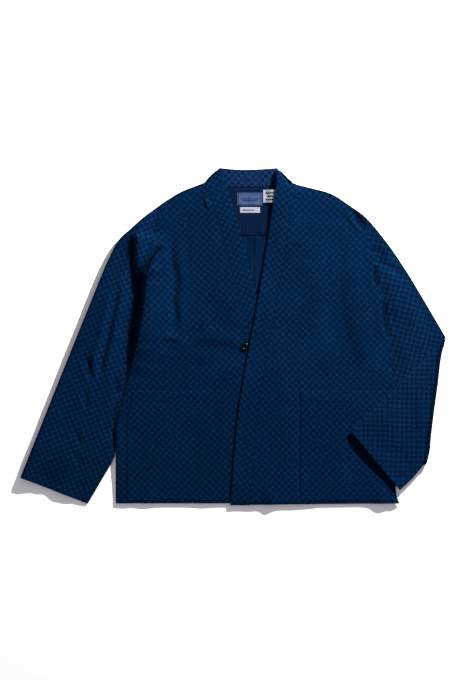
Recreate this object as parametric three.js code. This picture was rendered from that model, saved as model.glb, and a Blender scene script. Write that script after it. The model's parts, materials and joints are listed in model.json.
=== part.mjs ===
// A short haori jacket laid out flat on its back: the right front crosses the left, one
// button and loop close it, and the right sleeve is folded back over the body at the elbow.
// Millimetres, +Z up. The cloth lies on z = 0; the collar is towards +Y, the hem towards -Y.
// "Left" and "right" are as seen from above.

import * as THREE from "three";

// ---------------------------------------------------------------- driving sizes
const CLOTH = 1.4; // wall of one layer of the woven cloth
const BAND_CLOTH = 1.8; // wall of the doubled neck band
const YOKE_CLOTH = 1.0; // wall of the thin inside yoke
const LABEL_CLOTH = 0.5; // wall of a woven label
const SEAM = 0.3; // space between two sewn pieces
const SET_IN = 1.2; // space along an armhole, where the two sides' straight steps differ
const REST = 3.4; // height of the fronts' lower face above the floor, in the open
const PRESSED = 2.2; // the same at the outline, and under the folded forearm
const BAND_WIDTH = 40; // finished width of the neck band
const HEM_Y = -350; // the body's lower edge
const OVERLAP_LIFT = BAND_CLOTH + 0.6; // how far the right front rides up on the left one
const EDGE_ROLL = 14; // plan radius of the roll along shoulders and collar
const SIDE_ROLL = 8; // plan radius of the roll along side seams and hem
const SLEEVE_ROLL = 12; // plan radius of the roll along a sleeve's long edges
const FOLD_CENTRE = 6.3; // height of the elbow fold's axis, and its outer radius
const SLEEVE_FULL = 15.5; // height of the left sleeve's upper face along its outer edge
const SLEEVE_THIN = 5.4; // the same along its underarm
const ARM_FULL = 9.5; // height of the right upper arm's upper face
const LONG = 680; // length over which the rows down the fronts and bands are spaced
const FRONT_LEFT_WIDE = 300; // width over which the left front's columns are spaced
const FRONT_RIGHT_WIDE = 250; // the same for the right front
const SLEEVE_BULK = 190; // plan distance over which the left sleeve thins towards its underarm
const SLEEVE_MIDDLE = 0.42; // share of a sleeve's height at which its two layers meet
const CREST = { round: 10, spread: 42 }; // plan size of the front's ridge along the armhole
const RIDGE_FOOT = { low: 16, high: 46, full: 14 }; // reach of its slope on the sleeve, by rise
const FOREARM_PRESS = { before: 34, over: 26, x: 225, wide: 25 }; // where the forearm presses
const OVERLAP_EDGE = { inside: 8, wide: 40, y: 150, tall: 60 }; // where the right front steps down
const COLLAR_REACH = 55; // how far from its edge the collar's stand is felt
const ARM_OPEN = { past: 6, over: 60, seam: 30 }; // how the upper arm rises off seam and forearm
const FOLD_GAP = 0.7; // half the space between the two layers inside the elbow fold
const FOREARM_RISE = { full: 1.6, over: 120, fold: 30 }; // how the forearm swells off its fold
const FOLD_AXIS = { x: 0.985, y: -0.17 }; // plan direction out of the elbow fold
const ARM_COLUMNS = 10; // columns across the right sleeve, alike on both sides of its fold

// Curves are rows of points in plan, joined smoothly.
const SHOULDER_LEFT = [{ x: -148, y: 278 }, { x: -116, y: 300 }, { x: -62, y: 322 }];
const SHOULDER_RIGHT = [
  { x: 119, y: 322 }, { x: 161, y: 310.8 }, { x: 206, y: 297.5 }, { x: 249, y: 271 },
];
const ARMHOLE_LEFT = [
  { x: -148, y: 278 }, { x: -159, y: 234 }, { x: -169, y: 182 }, { x: -181, y: 129 },
  { x: -194, y: 24 }, { x: -219, y: -87 }, { x: -247, y: -196 },
];
const ARMHOLE_RIGHT = [
  { x: 249, y: 271 }, { x: 270, y: 234 }, { x: 291, y: 186 }, { x: 306, y: 98 },
  { x: 327, y: -3 }, { x: 339, y: -102 }, { x: 343, y: -192 },
];
const SIDE_LEFT = [{ x: -247, y: -196 }, { x: -247, y: HEM_Y }];
const SIDE_RIGHT = [{ x: 343, y: -192 }, { x: 341, y: -329 }, { x: 348, y: HEM_Y }];
const EDGE_LEFT = [
  { x: -24, y: 353 }, { x: -11, y: 314 }, { x: 5, y: 255 }, { x: 39, y: 123 },
  { x: 68, y: 14 }, { x: 87, y: -102 }, { x: 119, y: HEM_Y },
];
const EDGE_RIGHT = [
  { x: 91, y: 353 }, { x: 89, y: 318 }, { x: 79, y: 255 }, { x: 60, y: 129 },
  { x: 37, y: 3 }, { x: 22, y: -81 }, { x: 9, y: -165 }, { x: -7, y: -353.8 },
];
const SLEEVE_LEFT_OUTER = [
  { x: -148, y: 278 }, { x: -188, y: 249 }, { x: -234, y: 211 }, { x: -262, y: 161 },
  { x: -312, y: 47 }, { x: -373, y: -104 }, { x: -448.3, y: -295 },
];
const SLEEVE_LEFT_INNER = [
  { x: -248.6, y: -196 }, { x: -250, y: -225 }, { x: -252.5, y: -253 }, { x: -277, y: -302 },
  { x: -306, y: -351 },
];
const SLEEVE_RIGHT_OUTER = [
  { x: 249, y: 271 }, { x: 276, y: 250.5 }, { x: 320, y: 199.5 }, { x: 354, y: 149.5 },
  { x: 385, y: 99.5 }, { x: 444.2, y: -4 },
];
const SLEEVE_RIGHT_INNER = [{ x: 344.5, y: -192 }, { x: 370, y: -232 }, { x: 398.5, y: -270 }];
const ELBOW_FOLD = [
  { x: 444.2, y: -4 }, { x: 432.5, y: -26 }, { x: 421.5, y: -103 }, { x: 408.5, y: -204 },
  { x: 405.5, y: -240 }, { x: 398.5, y: -270 },
];
const FOREARM_OUTER = [{ x: 444.2, y: -4 }, { x: 245, y: -198 }];
const FOREARM_INNER = [{ x: 398.5, y: -270 }, { x: 376, y: -296 }, { x: 348.5, y: -322 }];
const NECK_SEAM = [
  { x: -61, y: 321 }, { x: -40, y: 314 }, { x: 25, y: 312 }, { x: 92, y: 314 }, { x: 118, y: 321 },
];

// Heights along a seam: "at" is the share of the seam's length from the shoulder down.
const ARMHOLE_RIDGE = [
  { at: 0, rise: 1 }, { at: 0.15, rise: 5 }, { at: 0.3, rise: 11 }, { at: 0.42, rise: 16 },
  { at: 0.56, rise: 14 }, { at: 0.7, rise: 8 }, { at: 0.8, rise: 2.5 }, { at: 1, rise: 0.5 },
];
const COLLAR_STAND = [
  { at: 150, rise: 0 }, { at: 200, rise: 1.5 }, { at: 240, rise: 6 }, { at: 286, rise: 13 },
  { at: 330, rise: 15 }, { at: 354, rise: 15 },
];
// Soft creases: a path, its half width and its depth (a negative depth is a ridge).
const CREASES = [
  { path: [[-210, 209], [-211, 170], [-203, 135]], half: 9, depth: 7 },
  { path: [[-188, 129], [-169, 167], [-160, 185]], half: 7, depth: 3 },
  { path: [[215, 234], [219, 66], [242, -34], [262, -100]], half: 24, depth: 2.2 },
  { path: [[246, 240], [250, 66], [268, -34], [288, -90]], half: 22, depth: -1.8 },
  { path: [[-128, 200], [-126, 90], [-127, 0]], half: 16, depth: 1.4 },
  { path: [[-120, -10], [-60, 8], [20, -14]], half: 20, depth: -1.6 },
  { path: [[-234, -195], [-180, -120], [-123, -28]], half: 24, depth: -2 },
];

const LABELS = [
  { name: "label_main", slot: "label_blue", x: 34, y: 288, width: 52, height: 27 },
  { name: "label_small", slot: "label_white", x: 34.5, y: 265.2, width: 42, height: 12 },
  { name: "label_care", slot: "label_white", x: 79, y: 294, width: 34, height: 27 },
];
const YOKE = { left: -52, right: 108, top: 311, bottom: 212, floor: CLOTH + SEAM };
const POCKETS = [
  { name: "pocket_left", topFrom: -212, from: -224, to: -16, top: -114, side: "left" },
  { name: "pocket_right", topFrom: 140, from: 140, to: 336, top: -114, side: "right" },
];
const BUTTON = { x: 25, y: -22.5, radius: 8, neck: 2.2, height: 4.2 };
const LOOP = { radius: 1.0, steps: 26, sides: 8 };

// Finishes, one for each kind of cloth or trim.
const FINISHES = {
  indigo: { color: 0x0a2c55, roughness: 0.9, metalness: 0 },
  indigo_inside: { color: 0x0b2147, roughness: 0.92, metalness: 0 },
  label_blue: { color: 0x5d6fa8, roughness: 0.85, metalness: 0 },
  label_white: { color: 0xd8d8dc, roughness: 0.85, metalness: 0 },
  horn_black: { color: 0x0a0a0c, roughness: 0.2, metalness: 0 },
  loop_cord: { color: 0x0a1730, roughness: 0.8, metalness: 0 },
};

// ---------------------------------------------------------------- small maths
const clamp = (value, low, high) => Math.min(high, Math.max(low, value));
const mix = (from, to, share) => from + (to - from) * share;
const ease = (share) => {
  const s = clamp(share, 0, 1);
  return s * s * (3 - 2 * s);
};
// Quarter-round rise from 0 at an edge to 1 at "radius" from it.
const roll = (distance, radius) => Math.sqrt(1 - (1 - clamp(distance / radius, 0, 1)) ** 2);

/** A smooth curve through plan points, as a function of the share of its length. */
function curve(points) {
  const line = new THREE.CatmullRomCurve3(
    points.map(({ x, y }) => new THREE.Vector3(x, y, 0)), false, "centripetal");
  line.arcLengthDivisions = 400;
  return (share) => {
    const p = line.getPointAt(clamp(share, 0, 1));
    return [p.x, p.y];
  };
}

/** Several curves end to end, each keeping its own share of the whole length. */
function chain(...parts) {
  const curves = parts.map(curve);
  const lengths = curves.map((c) => pathLength(samples(c, 40)));
  const whole = lengths.reduce((sum, length) => sum + length, 0);
  return (share) => {
    let run = clamp(share, 0, 1) * whole;
    let i = 0;
    while (i < lengths.length - 1 && run > lengths[i]) run -= lengths[i++];
    return curves[i](run / lengths[i]);
  };
}

const samples = (c, count) => Array.from({ length: count + 1 }, (_, i) => c(i / count));

function pathLength(path) {
  let run = 0;
  for (let i = 1; i < path.length; i++) {
    run += Math.hypot(path[i][0] - path[i - 1][0], path[i][1] - path[i - 1][1]);
  }
  return run;
}

/** Nearest place on a path: its distance, its side (+1 on the left going along) and share. */
function nearest(path, x, y) {
  let best = { gap: Infinity, side: 1, at: 0 };
  let run = 0;
  for (let i = 1; i < path.length; i++) {
    const [ax, ay] = path[i - 1];
    const [dx, dy] = [path[i][0] - ax, path[i][1] - ay];
    const length = Math.hypot(dx, dy);
    const share = clamp(((x - ax) * dx + (y - ay) * dy) / (length * length), 0, 1);
    const gap = Math.hypot(x - ax - share * dx, y - ay - share * dy);
    if (gap < best.gap) {
      best = { gap, side: Math.sign(dx * (y - ay) - dy * (x - ax)) || 1, at: run + share * length };
    }
    run += length;
  }
  return { ...best, at: best.at / run };
}

/** Value of a table of {at, rise} rows, eased between its rows. */
function along(table, at) {
  if (at <= table[0].at) return table[0].rise;
  for (let i = 1; i < table.length; i++) {
    if (at <= table[i].at) {
      const share = (at - table[i - 1].at) / (table[i].at - table[i - 1].at);
      return mix(table[i - 1].rise, table[i].rise, ease(share));
    }
  }
  return table[table.length - 1].rise;
}

/** x of an edge curve at height y. */
function xAt(path, y) {
  for (let i = 1; i < path.length; i++) {
    if (y >= path[i][1]) {
      const share = clamp((y - path[i - 1][1]) / (path[i][1] - path[i - 1][1]), 0, 1);
      return mix(path[i - 1][0], path[i][0], share);
    }
  }
  return path[path.length - 1][0];
}

// ---------------------------------------------------------------- how the cloth lies
const PATHS = {
  armholeLeft: samples(curve(ARMHOLE_LEFT), 60),
  armholeRight: samples(curve(ARMHOLE_RIGHT), 60),
  topLeft: [[-24, 353.8], ...samples(curve(SHOULDER_LEFT), 12).reverse()],
  topRight: [[91, 353.8], ...samples(curve(SHOULDER_RIGHT), 12)],
  sideLeft: samples(curve(SIDE_LEFT), 4),
  sideRight: samples(curve(SIDE_RIGHT), 8),
  edgeLeft: samples(curve(EDGE_LEFT), 60),
  edgeRight: samples(curve(EDGE_RIGHT), 60),
  forearm: FOREARM_OUTER.map(({ x, y }) => [x, y]),
};

function creases(x, y) {
  return CREASES.reduce((sum, { path, half, depth }) => {
    const { gap, at } = nearest(path, x, y);
    const ends = ease(Math.min(at, 1 - at) * 5 + 0.15);
    return sum - depth * ends * Math.exp(-((gap / half) ** 2));
  }, 0);
}

/** 1 where the folded forearm lies on the cloth, falling to 0 outside it. */
function underForearm(x, y) {
  const { gap, side } = nearest(PATHS.forearm, x, y);
  const below = side > 0 ? gap : -gap;
  const { before, over, x: from, wide } = FOREARM_PRESS;
  return ease((below + before) / over) * ease((x - from) / wide);
}

/** Height of a front's lower face, before what raises only one of the fronts. */
function ground(x, y) {
  const flat = mix(REST, PRESSED, underForearm(x, y));
  const armhole = nearest(PATHS.armholeLeft, x, y);
  const crest = armhole.side > 0 ? roll(armhole.gap, CREST.round) : 0;
  const spread = Math.exp(-((Math.max(0, armhole.gap - CREST.round) / CREST.spread) ** 2));
  const ridge = along(ARMHOLE_RIDGE, armhole.at) * crest * spread;
  const folds = creases(x, y) * (1 - underForearm(x, y));
  return Math.max(flat + ridge + folds, PRESSED - 0.2);
}

/** 0 on the outline, where a front is pressed on the back, and 1 inside it. */
function lift(x, y) {
  const top = Math.min(nearest(PATHS.topLeft, x, y).gap, nearest(PATHS.topRight, x, y).gap);
  const side = Math.min(nearest(PATHS.sideLeft, x, y).gap, nearest(PATHS.sideRight, x, y).gap);
  return roll(top, EDGE_ROLL) * roll(Math.min(side, y - HEM_Y + 1), SIDE_ROLL);
}

const underLeft = (x, y) => mix(PRESSED, ground(x, y), lift(x, y));

function underRight(x, y) {
  const past = x - xAt(PATHS.edgeLeft, y);
  const { inside, wide, y: from, tall } = OVERLAP_EDGE;
  const onLeft = OVERLAP_LIFT * (1 - ease((past - inside) / wide)) * ease((from - y) / tall);
  const fromEdge = Math.max(0, x - xAt(PATHS.edgeRight, y));
  const stand = along(COLLAR_STAND, y) * Math.exp(-((fromEdge / COLLAR_REACH) ** 2));
  return mix(PRESSED, ground(x, y) + stand, lift(x, y)) + onLeft;
}

// ---------------------------------------------------------------- solids
/** A patch of plan points between four edges: (u, v) in 0..1 to [x, y]. */
function patch({ start, end, first, last }) {
  const corner = [first(0), last(0), first(1), last(1)];
  return (u, v) => [0, 1].map((k) => mix(start(u)[k], end(u)[k], v) + mix(first(v)[k], last(v)[k], u)
    - mix(mix(corner[0][k], corner[1][k], u), mix(corner[2][k], corner[3][k], u), v));
}

/** Distances 0..length, close together by each end as "near" lists and even between. */
function spacing(length, near, count, nearEnd = near) {
  const low = near[near.length - 1];
  const high = length - nearEnd[nearEnd.length - 1];
  const middle = Array.from({ length: count - 1 }, (_, i) => mix(low, high, (i + 1) / count));
  return [...near, ...middle, ...[...nearEnd].reverse().map((d) => length - d)];
}

function solid(positions, triangles) {
  let volume = 0;
  const at = (i) => new THREE.Vector3().fromArray(positions, 3 * i);
  for (let i = 0; i < triangles.length; i += 3) {
    const [a, b, c] = [at(triangles[i]), at(triangles[i + 1]), at(triangles[i + 2])];
    volume += a.dot(b.cross(c)) / 6;
  }
  const out = volume > 0 ? triangles : [...triangles].reverse();
  const geometry = new THREE.BufferGeometry();
  geometry.setAttribute("position", new THREE.Float32BufferAttribute(positions, 3));
  geometry.setIndex(out);
  geometry.computeVertexNormals();
  return geometry;
}

/** A wall of cloth under a grid of plan points: rows of [x, y], their lower height, a wall. */
function sheet(rows, under, wall) {
  const [tall, wide] = [rows.length, rows[0].length];
  const top = rows.flat().map(([x, y]) => [x, y, under(x, y) + wall]);
  const index = (row, column) => row * wide + column;
  const faces = [];
  for (let r = 0; r + 1 < tall; r++) {
    for (let c = 0; c + 1 < wide; c++) {
      const [a, b, d, e] = [index(r, c), index(r, c + 1), index(r + 1, c), index(r + 1, c + 1)];
      faces.push(a, d, b, b, d, e);
    }
  }
  const face = new THREE.BufferGeometry();
  face.setAttribute("position", new THREE.Float32BufferAttribute(top.flat(), 3));
  face.setIndex(faces);
  face.computeVertexNormals();
  const normal = face.attributes.normal;
  const flip = Math.sign(normal.getZ(index(tall >> 1, wide >> 1)));
  const bottom = top.map(([x, y, z], i) => [
    x - wall * flip * normal.getX(i), y - wall * flip * normal.getY(i),
    z - wall * flip * normal.getZ(i)]);
  const count = top.length;
  const triangles = [...faces];
  for (let i = 0; i < faces.length; i += 3) {
    triangles.push(count + faces[i], count + faces[i + 2], count + faces[i + 1]);
  }
  const rim = [];
  for (let c = 0; c + 1 < wide; c++) rim.push(index(0, c));
  for (let r = 0; r + 1 < tall; r++) rim.push(index(r, wide - 1));
  for (let c = wide - 1; c > 0; c--) rim.push(index(tall - 1, c));
  for (let r = tall - 1; r > 0; r--) rim.push(index(r, 0));
  rim.forEach((a, i) => {
    const b = rim[(i + 1) % rim.length];
    triangles.push(a, b, count + a, b, count + b, count + a);
  });
  return solid([...top.flat(), ...bottom.flat()], triangles);
}

/** A flat piece cut from an outline, its lower face at "floor". */
function flatPiece(outline, floor, wall) {
  const shape = new THREE.Shape(outline.map(([x, y]) => new THREE.Vector2(x, y)));
  const geometry = new THREE.ExtrudeGeometry(shape, { depth: wall, bevelEnabled: false });
  return geometry.translate(0, 0, floor);
}

/**
 * One ring of a flattened sleeve: an outer and an inner loop across a row of plan points.
 * lower and upper give the outer faces' heights, place puts a plan point at a height.
 */
function ring(row, distances, lower, upper, place) {
  const length = pathLength(samples(row, 24));
  const loop = (inset) => {
    const points = distances.map((d) => {
      const from = inset + (length - 2 * inset) * (d / length);
      const [x, y] = row(from / length);
      const round = roll(Math.min(d, length - d), SLEEVE_ROLL);
      const [low, high] = [lower(x, y) + inset, upper(x, y) - inset];
      const middle = mix(low, high, SLEEVE_MIDDLE);
      return { x, y, low: mix(middle, low, round), high: mix(middle, high, round) };
    });
    const down = points.map((p) => place(p.x, p.y, p.low));
    const up = points.slice(1, -1).reverse().map((p) => place(p.x, p.y, p.high));
    return [...down, ...up];
  };
  return { outer: loop(0), inner: loop(CLOTH) };
}

/** A tube of cloth through rings, open at both ends. */
function tube(rings) {
  const size = rings[0].outer.length;
  const positions = rings.flatMap(({ outer, inner }) => [...outer.flat(), ...inner.flat()]);
  const at = (ringIndex, layer, i) => (ringIndex * 2 + layer) * size + (i % size);
  const triangles = [];
  const quad = (a, b, c, d) => triangles.push(a, b, c, b, d, c);
  for (let i = 0; i < size; i++) {
    for (let r = 0; r + 1 < rings.length; r++) {
      quad(at(r, 0, i), at(r, 0, i + 1), at(r + 1, 0, i), at(r + 1, 0, i + 1));
      quad(at(r, 1, i + 1), at(r, 1, i), at(r + 1, 1, i + 1), at(r + 1, 1, i));
    }
    const end = rings.length - 1;
    quad(at(0, 1, i), at(0, 1, i + 1), at(0, 0, i), at(0, 0, i + 1));
    quad(at(end, 0, i), at(end, 0, i + 1), at(end, 1, i), at(end, 1, i + 1));
  }
  return solid(positions, triangles);
}

// ---------------------------------------------------------------- the garment
const garment = new THREE.Group();
garment.name = "haori";

function add(name, finish, geometry) {
  const piece = new THREE.Mesh(geometry, new THREE.MeshStandardMaterial(FINISHES[finish]));
  piece.name = name;
  garment.add(piece);
}

const shifted = (points, dx) => points.map(({ x, y }) => ({ x: x + dx, y }));

/** Rows of plan points across a patch, at given distances along and across it. */
function gridOf(plan, long, wide, downs, acrosses) {
  return downs.map((d) => acrosses.map((a) => plan(a / wide, d / long)));
}

// Rows down the fronts and bands, which share them so that their seam's edges match.
const DOWNS = spacing(LONG, [0, 3, 8, 15], 20, [0, 7]);

function frontLeft() {
  const seam = [{ x: -62, y: 322 }, ...shifted(EDGE_LEFT.slice(1), -BAND_WIDTH - SEAM)];
  const plan = patch({
    start: curve(SHOULDER_LEFT),
    end: curve([SIDE_LEFT[1], seam[seam.length - 1]]),
    first: chain(ARMHOLE_LEFT, SIDE_LEFT),
    last: curve(seam),
  });
  const acrosses = spacing(FRONT_LEFT_WIDE, [0.3, 3, 8, 15, 27, 45], 7, [0]);
  return sheet(gridOf(plan, LONG, FRONT_LEFT_WIDE, DOWNS, acrosses), underLeft, CLOTH);
}

function frontRight() {
  const seam = [{ x: 119, y: 322 }, ...shifted(EDGE_RIGHT.slice(1, -1), BAND_WIDTH + SEAM),
    { x: EDGE_RIGHT[EDGE_RIGHT.length - 1].x + BAND_WIDTH + SEAM, y: -352 }];
  const plan = patch({
    start: curve(SHOULDER_RIGHT),
    end: curve([seam[seam.length - 1], SIDE_RIGHT[2]]),
    first: curve(seam),
    last: chain(ARMHOLE_RIGHT, SIDE_RIGHT),
  });
  const acrosses = spacing(FRONT_RIGHT_WIDE, [0], 11, [0.4, 4, 10]);
  return sheet(gridOf(plan, LONG, FRONT_RIGHT_WIDE, DOWNS, acrosses), underRight, CLOTH);
}

/** The band beside one front, from the collar's fold down to the hem. */
function frontBand(edge, neck, side, under) {
  const seam = [neck, ...shifted(edge.slice(1), side * BAND_WIDTH)];
  const plan = patch({
    start: curve([edge[0], seam[0]]),
    end: curve([edge[edge.length - 1], seam[seam.length - 1]]),
    first: curve(edge),
    last: curve(seam),
  });
  return sheet(gridOf(plan, LONG, BAND_WIDTH, DOWNS, spacing(BAND_WIDTH, [0, 4], 2, [0])), under,
    BAND_CLOTH);
}

function sleeveLeft() {
  const armhole = shifted(ARMHOLE_LEFT, -SET_IN);
  const cuff = [SLEEVE_LEFT_OUTER, SLEEVE_LEFT_INNER].map((edge) => edge[edge.length - 1]);
  const outer = [armhole[0], ...SLEEVE_LEFT_OUTER.slice(1)];
  const inner = [armhole[armhole.length - 1], ...SLEEVE_LEFT_INNER.slice(1)];
  const plan = patch({
    start: curve(armhole), end: curve(cuff), first: curve(outer), last: curve(inner),
  });
  const upper = (x, y) => {
    const seam = nearest(PATHS.armholeLeft, x, y);
    const bulk = nearest(samples(curve(SLEEVE_LEFT_OUTER), 40), x, y);
    const full = mix(SLEEVE_FULL, SLEEVE_THIN, ease(bulk.gap / SLEEVE_BULK));
    const foot = ease(along(ARMHOLE_RIDGE, seam.at) / RIDGE_FOOT.full);
    const dip = ease(seam.gap / mix(RIDGE_FOOT.low, RIDGE_FOOT.high, foot));
    return mix(REST + CLOTH, full, dip) + creases(x, y) * dip;
  };
  const rings = spacing(1, [0, 0.02, 0.05, 0.09, 0.14], 11, [0]).map((v) => {
    const row = (u) => plan(u, v);
    const length = pathLength(samples(row, 24));
    return ring(row, spacing(length, [0, 1, 4, 9, 15], 10), () => 0, upper, (x, y, z) => [x, y, z]);
  });
  return tube(rings);
}

/** Height of the upper arm's top face: high along the outer edge, low under the forearm. */
function upperArm(x, y) {
  const seam = nearest(PATHS.armholeRight, x, y);
  const fold = nearest(PATHS.forearm, x, y);
  const open = fold.side > 0 ? 0 : ease((fold.gap - ARM_OPEN.past) / ARM_OPEN.over);
  const low = mix(FOLD_CENTRE - FOLD_GAP, REST + CLOTH, 0.3);
  const full = mix(low, ARM_FULL, open);
  return mix(mix(REST + CLOTH, PRESSED + CLOTH, underForearm(x, y)), full, ease(seam.gap / ARM_OPEN.seam))
    + creases(x, y) * open;
}

const foldRow = curve(ELBOW_FOLD);

function sleeveRightUpper() {
  const armhole = shifted(ARMHOLE_RIGHT, SET_IN);
  const plan = patch({
    start: curve(armhole),
    end: foldRow,
    first: curve([armhole[0], ...SLEEVE_RIGHT_OUTER.slice(1)]),
    last: curve([armhole[armhole.length - 1], ...SLEEVE_RIGHT_INNER.slice(1)]),
  });
  const rings = spacing(1, [0, 0.06, 0.14], 7, [0.004, 0.05]).map((v) => {
    const row = (u) => plan(u, v);
    const length = pathLength(samples(row, 24));
    return ring(row, spacing(length, [0, 1, 4, 9, 15], ARM_COLUMNS), () => 0, upperArm,
      (x, y, z) => [x, y, z]);
  });
  return tube(rings);
}

/** The turn of the fold and the forearm, which lies back over upper arm and body. */
function sleeveRightForearm() {
  const plan = patch({
    start: foldRow,
    end: curve([FOREARM_OUTER[1], FOREARM_INNER[2]]),
    first: curve(FOREARM_OUTER),
    last: curve(FOREARM_INNER),
  });
  const length = pathLength(samples(foldRow, 24));
  const distances = spacing(length, [0, 1, 4, 9, 15], ARM_COLUMNS);
  const turn = [0.02, 0.2, 0.4, 0.6, 0.8].map((share) => {
    const angle = share * Math.PI;
    return ring(foldRow, distances, () => 0, () => FOLD_CENTRE - FOLD_GAP, (x, y, z) => {
      const out = (FOLD_CENTRE - z) * Math.sin(angle);
      const high = FOLD_CENTRE - (FOLD_CENTRE - z) * Math.cos(angle);
      return [x + out * FOLD_AXIS.x, y + out * FOLD_AXIS.y, high];
    });
  });
  const lower = (x, y) => {
    const { gap } = nearest(samples(foldRow, 20), x, y);
    return mix(FOLD_CENTRE + FOLD_GAP, FOLD_CENTRE, ease(gap / FOREARM_RISE.fold));
  };
  const upper = (x, y) => {
    const { gap } = nearest(samples(foldRow, 20), x, y);
    return 2 * FOLD_CENTRE + FOREARM_RISE.full * ease(gap / FOREARM_RISE.over);
  };
  const flat = spacing(1, [0], 9, [0]).map((v) => {
    const row = (u) => plan(u, v);
    const wide = pathLength(samples(row, 24));
    const { outer, inner } = ring(row, spacing(wide, [0, 1, 4, 9, 15], ARM_COLUMNS), lower,
      upper, (x, y, z) => [x, y, z]);
    // In the forearm the layer that lay on the floor is on top, so each loop is turned over.
    return { outer: overturned(outer, distances.length), inner: overturned(inner, distances.length) };
  });
  return tube([...turn, ...flat]);
}

/** A ring's loop with its lower and upper rows exchanged; both keep their shared ends. */
function overturned(loop, across) {
  const down = loop.slice(0, across);
  const up = [down[0], ...loop.slice(across).reverse(), down[across - 1]];
  return [...up, ...down.slice(1, -1).reverse()];
}

function backPanel() {
  const outline = [
    ...samples(curve(SHOULDER_LEFT), 4).reverse(),
    ...samples(curve(ARMHOLE_LEFT), 16).slice(1),
    [-246.5, HEM_Y + 2], [347, HEM_Y + 2],
    ...samples(curve(SIDE_RIGHT), 4).reverse().slice(1),
    ...samples(curve(ARMHOLE_RIGHT), 16).reverse().slice(1),
    ...samples(curve(SHOULDER_RIGHT), 4).reverse().slice(1),
    ...samples(curve(NECK_SEAM), 10).reverse(),
  ];
  const inset = ([x, y]) => [x * (1 - SEAM / 200), y - SEAM];
  return flatPiece(outline.map(inset), 0, CLOTH);
}

function bandBack() {
  const outline = [[-24, 353.8], [33, 349.5], [91, 353.8],
    ...samples(curve(NECK_SEAM), 10).reverse()];
  return flatPiece(outline.map(([x, y]) => [x, y + SEAM * (y < 340)]), 0, BAND_CLOTH);
}

function pocket({ topFrom, from, to, top, side }) {
  const under = side === "left" ? underLeft : underRight;
  const hem = HEM_Y + 5;
  const rows = spacing(top - hem, [0, 6], 8, [0, 6]).map((d) => {
    const start = mix(topFrom, from, ease(d / 80));
    return spacing(to - start, [0, 6], 8, [0, 6]).map((a) => [start + a, top - d]);
  });
  return sheet(rows, (x, y) => under(x, y) + CLOTH + SEAM + 0.3, CLOTH - 0.2);
}

function button() {
  const seat = underLeft(BUTTON.x, BUTTON.y) + CLOTH + SEAM;
  const head = underRight(BUTTON.x + 8, BUTTON.y) + BAND_CLOTH + 0.5;
  const { radius, neck, height } = BUTTON;
  const profile = [[0, seat], [neck, seat], [neck, head], [0.78 * radius, head],
    [0.97 * radius, head + 0.22 * height], [radius, head + 0.4 * height],
    [0.93 * radius, head + 0.64 * height], [0.68 * radius, head + 0.86 * height],
    [0.36 * radius, head + 0.97 * height], [0, head + height]];
  const turned = new THREE.LatheGeometry(profile.map(([r, z]) => new THREE.Vector2(r, z)), 24);
  return turned.rotateX(Math.PI / 2).translate(BUTTON.x, BUTTON.y, 0);
}

function buttonLoop() {
  const height = underLeft(BUTTON.x, BUTTON.y) + BAND_CLOTH + SEAM + LOOP.radius + 0.2;
  const reach = BUTTON.neck + LOOP.radius + 0.4;
  const { x, y } = BUTTON;
  const route = [[x + 10.2, y + 21], [x + 4.5, y + 13], [x - 1, y + 6.5], [x - reach, y],
    [x - 0.7 * reach, y - 0.8 * reach], [x, y - reach], [x + 3.5, y - reach + 0.3]];
  const path = new THREE.CatmullRomCurve3(
    route.map(([px, py]) => new THREE.Vector3(px, py, height)), false, "centripetal");
  const section = new THREE.Shape(Array.from({ length: LOOP.sides }, (_, i) => {
    const angle = (2 * Math.PI * i) / LOOP.sides;
    return new THREE.Vector2(LOOP.radius * Math.cos(angle), LOOP.radius * Math.sin(angle));
  }));
  return new THREE.ExtrudeGeometry(section, { steps: LOOP.steps, extrudePath: path });
}

function rectangle({ x, y, width, height }) {
  const [w, h] = [width / 2, height / 2];
  return [[x - w, y - h], [x + w, y - h], [x + w, y + h], [x - w, y + h]];
}

add("back", "indigo", backPanel());
add("band_back", "indigo", bandBack());
add("back_yoke", "indigo_inside", flatPiece(
  [[YOKE.left, YOKE.top], [YOKE.left, YOKE.bottom], [YOKE.right, YOKE.bottom],
    [YOKE.right, YOKE.top]], YOKE.floor, YOKE_CLOTH));
for (const label of LABELS) {
  add(label.name, label.slot,
    flatPiece(rectangle(label), YOKE.floor + YOKE_CLOTH + SEAM, LABEL_CLOTH));
}
add("front_left", "indigo", frontLeft());
add("front_right", "indigo", frontRight());
add("band_left", "indigo", frontBand(EDGE_LEFT, { x: -61.7, y: 322.3 }, -1, underLeft));
add("band_right", "indigo", frontBand(EDGE_RIGHT, { x: 118.7, y: 322.3 }, 1, underRight));
add("sleeve_left", "indigo", sleeveLeft());
add("sleeve_right_upper", "indigo", sleeveRightUpper());
add("sleeve_right_forearm", "indigo", sleeveRightForearm());
for (const spec of POCKETS) add(spec.name, "indigo", pocket(spec));
add("button", "horn_black", button());
add("button_loop", "loop_cord", buttonLoop());

export default garment;
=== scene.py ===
"""A short indigo haori jacket laid out flat, dressed around its CAD frame.

All sizes of the garment are in millimetres, in the frame's own axes: +X across the jacket,
+Y from hem to collar and +Z off the floor. "Left" and "right" are as seen from above.
"""

import json
import logging
import math
from dataclasses import dataclass
from enum import Enum
from typing import Callable, Sequence

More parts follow.
